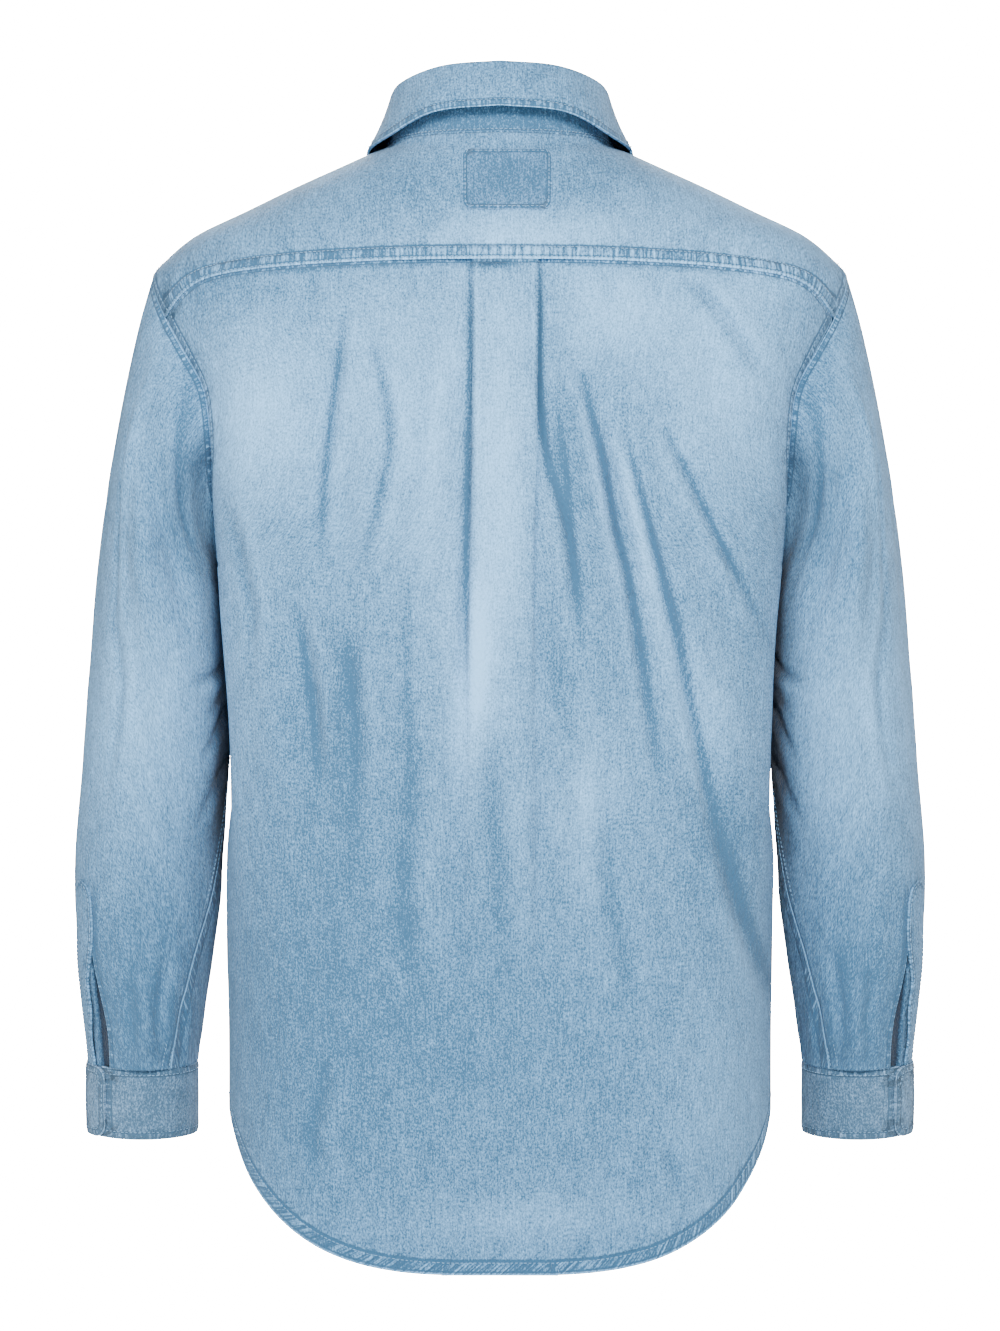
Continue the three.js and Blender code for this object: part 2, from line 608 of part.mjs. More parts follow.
// Sleeve placket: a tower over the slit, made from the sleeve's points and moved out
const TOWER = [
  { z: -512, from: 58, to: 62 },
  { z: -517, from: 51, to: 69 },
  { z: -524, from: 47, to: 72 },
  { z: -536, from: 46, to: 72 },
  { z: -549, from: 46, to: 73 },
  { z: -562, from: 49, to: 75 },
  { z: -580, from: 50, to: 77 },
  { z: -600, from: 50, to: 79 },
  { z: -620, from: 50, to: 82 },
  { z: -640, from: 50, to: 84 },
];
function towerGrid() {
  return TOWER.map((row) => [0, 0.35, 0.7, 1].map((share) => {
    const gape = row.z < SLIT_TOP_Z ? 1.6 * (1 - share) * smooth(SLIT_TOP_Z, -580, row.z) : 0;
    const thickness = 1.4 + LAY_GAP + gape;
    return sleevePoint(mix(row.from, row.to, share), row.z, thickness);
  }));
}

// Place on the cuff: length from its upper end, share of the way down
function cuffPoint(length, share) {
  const inset = CUFF_CORNER - Math.min(length, CUFF_CORNER);
  const cut = CUFF_CORNER - Math.sqrt(CUFF_CORNER ** 2 - inset ** 2);
  const z = mix(CUFF_TOP_Z - cut, CUFF_BOTTOM_Z + cut, share);
  const lift = (FOLDED_CLOTH + LAY_GAP) * (1 - smooth(CUFF_OVERLAP, CUFF_OVERLAP + 18, length));
  const angle = degrees(CUFF_END_TURN) + length / CUFF_RADIUS;
  const forward = Math.cos(angle) * (CUFF_RADIUS + lift);
  const middle = (sleeve.inner(z) + sleeve.outer(z)) / 2;
  const x = middle + Math.sin(angle) * (CUFF_RADIUS + lift);
  return new THREE.Vector3(x, sleeve.y(z) + forward, z - sleeve.tilt(z) * forward);
}

// Cuff: a folded band wound round the wrist, its round-cornered end over the other
function cuffGrid() {
  const round = 2 * Math.PI * CUFF_RADIUS;
  const stations = [0, 2.5, 6, CUFF_CORNER, 18, CUFF_OVERLAP + 6];
  const turns = 22;
  for (let i = 1; i <= turns; i += 1) stations.push(mix(CUFF_OVERLAP + 6, round - 4, i / turns));
  stations.push(round + 6, round + CUFF_OVERLAP - 6, round + CUFF_OVERLAP);
  const shares = [0, 0.22, 0.5, 0.78, 1];
  return shares.map((share) => stations.map((length) => cuffPoint(length, share)));
}

// Level direction away from the neck's middle, and the neck edge itself
function neckFrame(turn) {
  const angle = degrees(turn);
  const place = neckPlace(Math.abs(turn) <= 180 ? Math.abs(turn) : 360 - Math.abs(turn));
  const base = ringPoint(place.angle, place.z);
  base.x = NECK_HALF_WIDTH * Math.sin(angle);
  const out = new THREE.Vector3(Math.sin(angle) / NECK_HALF_WIDTH, Math.cos(angle) / 72, 0).normalize();
  return { base, out };
}

function standPoint(turn, share) {
  const { base, out } = neckFrame(turn);
  const around = Math.abs(turn);
  const underLeaf = leaf.fold(around) - LEAF_RISE - 3 * SEAM_GAP - 1.2 * smooth(145, 162, around);
  const high = mix(STAND_CLEAR, underLeaf, share);
  const over = (FOLDED_CLOTH + LAY_GAP) / 2;
  const lap = over * (smooth(140, 164, turn) - smooth(140, 164, -turn));
  return base.addScaledVector(out, lap - COLLAR_LEAN * high).add(new THREE.Vector3(0, 0, high));
}

// Collar stand: a folded band up from the neck edge, its left end over the right at the front
function standGrid() {
  const overlap = 12;
  const turns = [];
  const steps = 34;
  for (let i = 0; i <= steps; i += 1) turns.push(mix(-180 - overlap, 180 + overlap, i / steps));
  return [1, 0.66, 0.33, 0].map((share) => turns.map((turn) => standPoint(turn, share)));
}

// Collar leaf: rises from the stand's top, folds over and falls to its edge, clear of the shirt below
function leafGrid() {
  const last = LEAF.at(-1).turn;
  const steps = 32;
  const profile = [
    { over: -1, high: -LEAF_RISE },
    { over: -0.4, high: -2 },
    { over: 0.5, high: 0 },
    { over: 1, high: -3 },
  ];
  const fall = [0.22, 0.48, 0.74, 1];
  const columnsOfLeaf = [];
  for (let i = 0; i <= steps; i += 1) {
    const turn = mix(-last, last, i / steps);
    const side = Math.sign(turn) || 1;
    const around = Math.abs(turn);
    const { base, out } = neckFrame(turn);
    const foldHigh = leaf.fold(around);
    const at = (over, high) => base.clone()
      .addScaledVector(out, over - COLLAR_LEAN * high)
      .add(new THREE.Vector3(0, 0, high));
    const list = profile.map((row) => at(mix(0.4, 5.4, (row.over + 1) / 2), foldHigh + row.high));
    const start = list.at(-1);
    const edge = neckFrame(side * leaf.edgeTurn(around));
    const tip = edge.base.clone().addScaledVector(edge.out, leaf.out(around));
    tip.z += leaf.up(around);
    for (const share of fall) {
      const point = start.clone().lerp(tip, share);
      point.addScaledVector(out, 2.4 * Math.sin(Math.PI * share));
      list.push(clearOfBody(point, 3.2));
    }
    columnsOfLeaf.push(list);
  }
  return columnsOfLeaf[0].map((_, j) => columnsOfLeaf.map((list) => list[j]));
}

// Moves a point out level until it is clear of the front
function clearOfBody(point, clearance) {
  if (point.z > BODY[0].z || point.y > 0) return point;
  const angle = Math.atan2(point.x, point.y);
  const skin = ringPoint(angle, point.z);
  const reach = Math.hypot(point.x, point.y);
  const least = Math.hypot(skin.x, skin.y) + clearance;
  if (reach >= least) return point;
  point.x *= least / reach;
  point.y *= least / reach;
  return point;
}

function patchGrid() {
  const { corner, height, halfWidth } = PATCH;
  const rows = [0, 1.6, corner, 14, 22, 30, height - corner, height - 1.6, height];
  const shares = [-1, -0.93, -0.6, -0.2, 0.2, 0.6, 0.93, 1];
  return rows.map((down) => {
    const inset = Math.min(down, height - down);
    const cut = inset < corner ? corner - Math.sqrt(corner ** 2 - (corner - inset) ** 2) : 0;
    return shares.map((share) => {
      const z = PATCH.z - down;
      const x = PATCH.x + share * (halfWidth - cut);
      return bodyPoint(angleAtX(x, z, true), z, PATCH.levelLift);
    });
  });
}

// Button: a dished disc with a round rim
function buttonGeometry() {
  const profile = [
    [0, 0],
    [BUTTON_RADIUS - 0.8, 0],
    [BUTTON_RADIUS, 1],
    [BUTTON_RADIUS - 0.6, BUTTON_HEIGHT],
    [BUTTON_RADIUS - 1.8, BUTTON_HEIGHT - 0.8],
    [0, BUTTON_HEIGHT - 0.8],
  ];
  return new THREE.LatheGeometry(profile.map(([radius, high]) => new THREE.Vector2(radius, high)), 12);
}

const shirt = new THREE.Group();

function addPiece(name, geometry, finish = DENIM) {
  const piece = new THREE.Mesh(geometry, new THREE.MeshStandardMaterial(finish));
  piece.name = name;
  shirt.add(piece);
  return piece;
}

function addButton(name, place, outward) {
  const button = addPiece(name, buttonGeometry(), BUTTON_FINISH);
  button.position.copy(place).addScaledVector(outward, LAY_GAP);
  button.quaternion.setFromUnitVectors(new THREE.Vector3(0, 1, 0), outward);
  return button;
}

// Shares one thickness direction between the pieces that meet at a seam, so that their walls meet edge to edge
function shareWays(pairs) {
  for (const [first, second] of pairs) {
    const way = first.clone().add(second).divideScalar(Math.max(0.5, 1 + first.dot(second)));
    first.copy(way);
    second.copy(way);
  }
}

const yoke = yokeGrid();
const back = backGrid();
const leftStops = [66, 54, 40, 28, PLACKET_HALF_WIDTH + SEAM_GAP];
const rightStops = [66, 54, 40, 28.5, 17, 4, -PLACKET_HALF_WIDTH];
const rightRecess = FOLDED_CLOTH - PLACKET_PROUD + LAY_GAP;
const leftFront = frontGrid(leftStops.at(-1), leftStops, 0, 1);
const rightFront = frontGrid(rightStops.at(-1), rightStops, rightRecess, -1).map((row) => [...row].reverse());
const leftSleeve = sleeveGrid();

const yokeWays = outwardOf(yoke, false);
const backWays = outwardOf(back, false);
const leftFrontWays = outwardOf(leftFront, false);
const rightFrontWays = outwardOf(rightFront, false);
const sleeveWays = outwardOf(leftSleeve, true);

// The armhole seam, taken on the wearer's left, and its twin on the right
const yokeLast = yoke[0].length - 1;
const yokeRim = (fromEnd, side) => yokeWays.at(-1)[side > 0 ? yokeLast - fromEnd : fromEnd];
const loopCount = 2 * (ARMHOLE.length - 1);
const rimWays = [];
for (let i = 0; i < loopCount; i += 1) {
  const down = i < ARMHOLE.length ? i : loopCount - i;
  const onFront = i < ARMHOLE.length;
  const corner = onFront ? FRONT_CORNER : BACK_CORNER;
  if (down <= corner) {
    const fromEnd = onFront ? FRONT_CORNER - down : FRONT_CORNER + down;
    rimWays.push(yokeRim(fromEnd, 1));
  } else if (onFront) {
    rimWays.push(leftFrontWays[down - FRONT_CORNER][0]);
  } else {
    rimWays.push(backWays[down - BACK_CORNER].at(-1));
  }
}
shareWays(rimWays.map((way, i) => [way, sleeveWays[0][i]]));
const flipped = (way) => new THREE.Vector3(-way.x, way.y, way.z);

// The seams of the yoke with the back and with both fronts
const yokeMiddle = yokeLast / 2;
const backMiddle = (back[0].length - 1) / 2;
SEAM_STATIONS.forEach((_, k) => {
  for (const side of [-1, 1]) {
    const onYoke = yokeWays.at(-1)[yokeMiddle + side * (3 + k)];
    shareWays([[onYoke, backWays[0][backMiddle + side * (1 + PLEAT.length + k)]]]);
  }
});
const lastShare = YOKE_SHARES.length - 1;
for (let j = 0; j < lastShare; j += 1) {
  shareWays([
    [yokeWays[j][yokeLast], leftFrontWays[0][lastShare - j]],
    [yokeWays[j][0], rightFrontWays[0][rightFrontWays[0].length - 1 - (lastShare - j)]],
  ]);
}
yokeWays.at(-1).forEach((way, i, row) => {
  if (i < 2 * FRONT_CORNER + 2) row[i] = flipped(row[yokeLast - i]);
});
rightFrontWays.forEach((row, j) => {
  row[row.length - 1] = flipped(leftFrontWays[j][0]);
});
backWays.forEach((row) => {
  row[0] = flipped(row.at(-1));
});

addPiece("yoke", wall(trimmed(yoke, ["bottom", "first", "last"]), { outward: yokeWays }));
const backTrimmed = trimmed(trimmed(back, ["first", "last"]), ["top"], YOKE_OVER_BACK_GAP);
addPiece("back", wall(backTrimmed, { outside: 0.5, outward: backWays }));
addPiece("front_left", wall(trimmed(leftFront, ["top", "first"]), { outward: leftFrontWays }));
addPiece("front_right", wall(trimmed(rightFront, ["top", "last"]), { outward: rightFrontWays }));
addPiece("front_placket", wall(trimmed(bandGrid(), ["top"]), { thick: FOLDED_CLOTH }));

const slitRow = CAP_STEPS.length + SLEEVE_HEIGHTS.indexOf(SLIT_TOP_Z);
const sleeveWall = wall(trimmed(leftSleeve, ["top"]), {
  wrapped: true,
  outward: sleeveWays,
  keep: (j, i) => j < slitRow || i !== SLIT_COLUMN,
});
const towerWall = wall(towerGrid(), { thick: 1.4 });
const cuffWall = wall(cuffGrid(), { thick: FOLDED_CLOTH });
addPiece("sleeve_left", sleeveWall);
addPiece("sleeve_right", mirrored(sleeveWall));
addPiece("sleeve_placket_left", towerWall);
addPiece("sleeve_placket_right", mirrored(towerWall));
addPiece("cuff_left", cuffWall, DARK_DENIM);
addPiece("cuff_right", mirrored(cuffWall), DARK_DENIM);

addPiece("collar_stand", wall(standGrid(), { thick: FOLDED_CLOTH }));
addPiece("collar_leaf", wall(leafGrid(), { thick: 1.8 }));
addPiece("yoke_patch", wall(patchGrid(), { thick: PATCH.cloth }), DARK_DENIM);

BUTTON_HEIGHTS.forEach((z, i) => {
  const place = bodyPoint(Math.PI, z, PLACKET_PROUD);
  const above = bodyPoint(Math.PI, z + 4, PLACKET_PROUD);
  const outward = above.sub(place).cross(new THREE.Vector3(1, 0, 0)).normalize();
  addButton(`front_button_${i + 1}`, place, outward.y < 0 ? outward : outward.negate());
});
const standLow = standPoint(180, 0.2);
const standMiddle = standPoint(180, 0.5);
const standOut = standMiddle.clone().sub(standLow).cross(new THREE.Vector3(-1, 0, 0)).normalize();
addButton("stand_button", standMiddle, standOut.y < 0 ? standOut : standOut.negate());

export default shirt;
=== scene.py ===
import math

import bpy
import numpy as np
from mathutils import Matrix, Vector


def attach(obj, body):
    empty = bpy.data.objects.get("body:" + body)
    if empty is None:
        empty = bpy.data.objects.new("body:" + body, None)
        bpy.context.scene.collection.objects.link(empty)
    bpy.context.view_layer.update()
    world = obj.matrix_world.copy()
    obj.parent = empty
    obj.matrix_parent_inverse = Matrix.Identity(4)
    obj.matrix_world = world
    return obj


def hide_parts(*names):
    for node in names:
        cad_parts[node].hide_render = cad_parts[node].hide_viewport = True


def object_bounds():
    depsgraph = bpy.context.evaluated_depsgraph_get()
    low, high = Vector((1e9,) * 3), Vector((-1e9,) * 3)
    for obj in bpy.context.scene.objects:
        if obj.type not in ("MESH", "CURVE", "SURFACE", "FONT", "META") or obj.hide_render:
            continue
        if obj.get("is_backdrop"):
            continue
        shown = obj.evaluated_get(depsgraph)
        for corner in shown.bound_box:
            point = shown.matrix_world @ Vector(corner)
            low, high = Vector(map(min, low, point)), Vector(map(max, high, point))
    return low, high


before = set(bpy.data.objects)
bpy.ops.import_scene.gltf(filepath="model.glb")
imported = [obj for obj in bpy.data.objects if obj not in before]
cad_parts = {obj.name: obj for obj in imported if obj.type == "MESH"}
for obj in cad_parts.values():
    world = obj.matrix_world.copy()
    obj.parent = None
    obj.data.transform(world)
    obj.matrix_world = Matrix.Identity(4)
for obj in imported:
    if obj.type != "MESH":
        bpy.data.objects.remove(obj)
bounds_at_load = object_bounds()

# Denim shirt: cloth, seams, stitches and buttons
# Sizes are in millimetres, made into metres where a mesh is built
MM = 0.001
CLOTH = 1.0
FOLDED_CLOTH = 2.2
LAY_GAP = 0.35
NECK_HALF_WIDTH = 76
NECK_HALF_DEPTH = 72
SIDE_HEM_Z = -671
BACK_TAIL_DROP = 113.5
FRONT_TAIL_DROP = 76
HEM_RING_Z = -720
PLACKET_HALF_WIDTH = 16
PLACKET_PROUD = 1.2
YOKE_FRONT_TURN = 110
CAP_END_Z = -335
SLIT_TOP_Z = -549
SLEEVE_END_Z = -640.8
CUFF_TOP_Z = -641
CUFF_BOTTOM_Z = -690
CUFF_RADIUS = 38
CUFF_OVERLAP = 24
CUFF_END_TURN = 40
CUFF_CORNER = 10
BUTTON_RADIUS = 5.6
BUTTON_HEIGHTS = [-130, -220, -310, -400, -490, -580]
LEAF_RISE = 7.5
COLLAR_LEAN = 0.17
SLIT_TURN = 50
SLIT_DEPTH = 3.6
SLIT_GAPE = 12
SLIT_WIDE_Z = -625
CAP_RADIUS = 66

# Cloth in a seam, its stitches' distances in from the edge, and how far they stand out
HEM_BAND = 9.7
FELL_BAND = 10.5
EDGE_BAND = 5
HEM_STITCH = 8.7
FELL_STITCH = 9.6
THREAD_LIFT = 0.05
BACK_THREAD_LIFT = 0.55

# Steps of the meshes
ACROSS = 2.4
DOWN = 4.2
GRID = 3.2
RING_STEPS = 48
ARMHOLE_ROWS = 56
OVER_COLUMNS = 26
COLLAR_COLUMNS = 150

# Paleness of the faded cloth where nothing changes it, and what a millimetre of crease adds to its tone:
# darker dye in the troughs and paler worn ridges, and with them painted shade in the troughs and painted
# highlight on the ridges
BASE_WASH = 0.27
CREASE_TONE = 0.085


def table(names, rows):
    return {name: np.array([row[i] for row in rows], float) for i, name in enumerate(names.split())}


# Body sections: half width, press of the hanging arm, depths behind and before, squareness
BODY = table("z half press back front power", [
    (6, 73, 0, 64, 58, 2),
    (0, 74, 0, 66.5, 60, 2),
    (-4.2, 75.6, 0, 69, 61, 2),
    (-8.5, 76.2, 0, 71, 62, 2),
    (-14, 90, 0, 74, 63.5, 2),
    (-20.7, 105, 0, 77, 65, 2),
    (-37, 141, 0, 85.5, 69, 2.05),
    (-54, 176, 0, 93, 74, 2.1),
    (-70, 209, 0, 99, 79, 2.2),
    (-87, 230, 0, 105, 85, 2.3),
    (-100, 240, 0, 109, 90, 2.4),
    (-128, 234, 0, 117, 102, 2.6),
    (-150, 225, 1, 122, 110, 2.8),
    (-178, 213, 5, 127, 118, 3.1),
    (-215, 208.5, 12, 130, 124, 3.3),
    (-253, 206.5, 18, 131, 127, 3.4),
    (-322, 201, 20, 131, 129, 3.4),
    (-391, 196, 16, 130, 129, 3.3),
    (-450, 194, 10, 129, 128, 3.1),
    (-495, 192.5, 4, 128, 127, 2.9),
    (-550, 188.5, 0, 127, 126, 2.8),
    (-620, 187.5, 0, 125, 124, 2.7),
    (-700, 187.5, 0, 122, 121, 2.7),
    (-800, 188, 0, 119, 118, 2.7),
])
PRESS_FULL_Y = 36
PRESS_NONE_Y = 76

# Armhole: distance behind and before the shoulder line, tip first
ARMHOLE = table("z back front", [
    (-94.5, 0, 0),
    (-103, 14, -15),
    (-114, 26, -28),
    (-128, 36, -39),
    (-146, 46, -50),
    (-166, 54, -58),
    (-188, 60, -64),
    (-210, 63, -67),
    (-232, 62, -66),
    (-254, 56, -59),
    (-274, 43, -45),
    (-290, 24, -25),
    (-300, 0, 0),
])
LOOP_SIDE = len(ARMHOLE["z"]) - 1
BACK_CORNER = 3
FRONT_CORNER = 2

# Neck edge: turn from the centre back in degrees, and height
NECK = table("turn z", [
    (0, 0), (45, -2), (90, -8.5), (110, -15), (130, -30), (152, -55), (180, -75), (208, -55),
])

# Seam of yoke and back: height at each distance from the middle
YOKE_SEAM = table("x z", [
    (0, -89), (60, -89.6), (110, -91.4), (150, -94), (185, -98), (205, -103), (218, -112), (230, -128),
])
YOKE_REACH = 229
YOKE_CORNER_TURN = 72
YOKE_TURNS = table("at turn", [
    (-3, YOKE_CORNER_TURN), (-2, 79), (-1, 87), (0, 95), (1, 103), (2, YOKE_FRONT_TURN),
])

# Box pleat, one side: distance from the middle and height over the back, folded and opened, and the steps
# to the next row
PLEAT = table("at up openAt openUp steps", [
    (0, 0.8, 0, 2.2, 5),
    (11, 0.9, 10.5, 2.6, 5),
    (18, 1, 16.5, 3, 2),
    (21.2, 0.7, 19.2, 2.4, 1),
    (21.9, 0, 20.6, 1.8, 1),
    (21.2, -1.2, 21.8, 1.1, 2),
    (14, -1.3, 24, -0.6, 2),
    (6.8, -1.3, 27, -1.9, 1),
    (6.2, -2.1, 27.9, -2, 1),
    (6.8, -2.9, 28.8, -2, 2),
    (14, -3, 32, -1.5, 4),
    (24, -2.6, 36.5, -0.7, 6),
    (40, -1.1, 40, 0, 0),
])
PLEAT_SHIFT = -3.6
PLEAT_END = 40
PLEAT_FADE_TOP_Z = -120
PLEAT_FADE_END_Z = -430

# Sleeve sections: inner and outer edge, how far forward, half depth, forward tilt
SLEEVE = table("z inner outer y depth tilt", [
    (-335, 186, 281.5, -10, 84, 0),
    (-391, 185, 286, -11, 76, 0.02),
    (-450, 188.5, 290.5, -14, 69, 0.07),
    (-495, 192, 293.8, -18, 63, 0.11),
    (-526, 193.5, 294.6, -22, 59, 0.14),
    (-561, 198.5, 293, -27, 56, 0.16),
    (-591, 202.5, 290.3, -32, 52, 0.16),
    (-620, 206.5, 287, -37, 47.5, 0.16),
    (-641, 209.5, 285.5, -41, 40.5, 0.16),
    (-700, 210, 285, -50, 38, 0.16),
])
SLEEVE_FIRST_TURN = 87
SLEEVE_TURN_STEP = 15

# Collar leaf: turn, height of the fold, turn of the outer edge, its distance out and its height over the
# neck edge
LEAF = table("turn fold edgeTurn out up", [
    (0, 48.5, 0, 12.5, 17),
    (30, 47, 30, 13, 14),
    (60, 41.5, 60, 14.5, 0.5),
    (90, 36.5, 90, 16.5, -5),
    (120, 34, 114, 20, -12),
    (150, 32, 134, 24, -34),
    (171, 31, 147, 28, -52),
])

# Sleeve placket: turns of its two edges at each height
TOWER = table("z start end", [
    (-512, 58.5, 60.5),
    (-514, 53.5, 65.5),
    (-518, 50, 69.5),
    (-524, 47.5, 71.8),
    (-536, 46, 72),
    (-549, 46, 73),
    (-562, 49, 75),
    (-580, 53, 77),
    (-600, 54, 79),
    (-620, 57, 82),
    (-640, 56, 84),
])
PATCH = {"x": -4.8, "z": -12.6, "half": 30.4, "height": 42, "corner": 5.5, "lift": 1.75}

# Lines that are both a crease and a mark: places, across and height
LEFT_BLADE_LINE = [(107, -128), (111, -161), (116, -199), (121, -250), (122, -300)]
RIGHT_FAN_LINE = [(-86, -210), (-100, -262), (-110, -299), (-122, -345), (-131, -391), (-152, -495)]

# Folds and creases of the body: places, half width, height over the cloth (minus is a trough) and lean,
# which is how much sharper the side towards the wearer's left is
BACK_FOLDS = [
    ("left shoulder blade", [(114, -130), (112, -215), (112, -300)], 13, -4.02, 0),
    ("left of the waist", [(138, -330), (130, -440)], 15, -4.6, 0),
    ("beside the pleat", [(84, -160), (80, -480)], 15, 3.45, 0),
    ("right long fold", [(-60, -180), (-108, -450)], 13, -5.75, 0),
    ("right outer fold", [(-82, -232), (-186, -590)], 14, -5.75, 0),
    ("right ridge", [(-82, -190), (-150, -420)], 14, 4.6, 0),
    ("right armhole", [(-134, -140), (-176, -250)], 14, -3.45, 0),
]
BACK_CREASES = [
    ("left blade line", LEFT_BLADE_LINE, 4, -2.72, 0.4),
    ("left blade line, inner", [(85, -152), (76, -193), (75, -221), (85, -262), (92, -296)], 5, -2.4, 0.3),
    ("left waist line", [(138, -335), (128, -400), (124, -445)], 4.5, -2.88, 0.5),
    ("left waist line, inner", [(104, -350), (98, -410), (99, -470)], 6, -2.24, 0.3),
    ("pleat left pull", [(23, -200), (24, -280), (26, -350), (22, -430)], 6, -2.6, 0.3),
    ("pleat left ridge", [(34, -130), (44, -200), (50, -300)], 7, 1.92, 0.2),
    ("pleat right pull", [(-26, -150), (-29, -193), (-34, -230), (-47, -275), (-57, -330)], 4, -2.88, -0.4),
    ("right fan, first", [(-41, -200), (-47, -249), (-50, -300), (-58, -360)], 5, -2.24, -0.4),
    ("right fan, long",
     [(-57, -168), (-64, -199), (-72, -230), (-80, -275), (-89, -309), (-95, -350), (-110, -450)],
     3.6, -4.16, -0.5),
    ("right fan, second", RIGHT_FAN_LINE, 4, -3.68, -0.5),
    ("right fan, outer",
     [(-112, -204), (-135, -249), (-150, -281), (-165, -310), (-182, -345)], 4, -2.88, -0.4),
    ("right fan, ridge", [(-72, -190), (-90, -260), (-104, -330), (-118, -400)], 6, 2.08, 0.3),
    ("right armhole line", [(-133, -104), (-157, -130), (-173, -155), (-187, -172)], 3.4, -2.72, 0.2),
    ("right low line", [(-152, -490), (-168, -540), (-190, -600)], 6, -2.88, -0.3),
    ("right waist line", [(-70, -440), (-76, -520), (-92, -600)], 7, -2.08, -0.3),
    ("left side line", [(188, -255), (178, -290), (170, -330), (172, -380)], 4.5, -2.4, 0.2),
    ("left low line", [(60, -420), (66, -520), (58, -600)], 8, -2.08, 0.2),
    ("middle low line", [(6, -420), (2, -500), (-6, -590)], 8, -1.92, 0.2),
    ("left tail pucker", [(118, -640), (130, -690), (122, -725)], 6, -2.08, 0.2),
    ("right tail pucker", [(-112, -700), (-124, -722)], 5, -1.92, 0.2),
    ("under the yoke, left 1", [(128, -98), (126, -120)], 4, -1.44, 0),
    ("under the yoke, left 2", [(60, -94), (58, -118)], 4, -1.28, 0),
    ("under the yoke, right 1", [(-72, -94), (-76, -122)], 4, -1.44, 0),
    ("under the yoke, right 2", [(-104, -96), (-110, -118)], 4, -1.28, 0),
]
FRONT_FOLDS = [
    ("left chest", [(66, -170), (112, -420)], 15, -4.5, 0),
    ("left side", [(120, -150), (160, -330)], 14, 3.5, 0),
    ("right chest", [(-74, -190), (-120, -480)], 15, -4.5, 0),
    ("right armhole", [(-128, -160), (-158, -300)], 14, -3, 0),
]
FRONT_CREASES = [
    ("left pull", [(40, -150), (62, -260), (70, -380)], 5, -2.24, 0.3),
    ("left armhole line", [(150, -140), (172, -200)], 4, -1.92, 0),
    ("left waist", [(110, -380), (122, -470), (150, -560)], 6, -2.56, 0.3),
    ("right pull", [(-48, -140), (-66, -240), (-62, -400)], 5, -2.4, -0.3),
    ("right armhole line", [(-144, -150), (-170, -215)], 4, -1.92, 0),
    ("right waist", [(-100, -420), (-126, -520), (-160, -600)], 6, -2.56, -0.3),
]
# Across is the length round the sleeve from its back line, towards its outer edge
SLEEVE_FOLDS = [
    ("cap to inner elbow", [(20, -205), (-28, -345)], 12, -6, 0),
    ("cap ridge", [(48, -180), (-4, -400)], 13, 4, 0),
    ("elbow", [(-10, -360), (35, -430)], 12, -4, 0),
    ("front of cap", [(185, -215), (225, -370)], 14, -5, 0),
]
SLEEVE_CREASES = [
    ("inner drag 1", [(-92, -350), (-60, -372), (-30, -380)], 4, -2.56, 0.2),
    ("inner drag 2", [(-96, -385), (-70, -398), (-44, -430)], 4.5, -2.88, 0.2),
    ("inner drag 3", [(-92, -425), (-66, -440), (-40, -476)], 4.5, -2.08, 0.2),
    ("cap line", [(14, -170), (-16, -240), (-48, -300)], 4.5, -2.56, 0.3),
    ("outer drag", [(58, -300), (34, -380), (40, -450)], 5, -1.92, 0.2),
    ("over the cuff 1", [(-18, -560), (-12, -600), (-14, -640)], 5, -2.24, 0.1),
    ("over the cuff 2", [(12, -575), (8, -610), (10, -640)], 4.5, -2.08, 0.1),
    ("over the cuff 3", [(-34, -590), (-30, -640)], 4, -1.76, 0.1),
    ("front drag 1", [(-150, -360), (-190, -400)], 5, -2.88, 0),
    ("front drag 2", [(-160, -420), (-200, -450)], 5, -2.56, 0),
]

# Lines of painted shade and painted highlight, with darker dye and paler worn cloth along some of them:
# places, half width and how much. Those on the sleeve are painted shade, on the cap and round the placket's
# edge
SLEEVE_SHADE_MARKS = [
    ("cap shade", [(-14, -190), (-44, -320)], 14, -0.12),
    ("beside the placket", [(51, -514), (51, -640)], 3, -0.3),
]
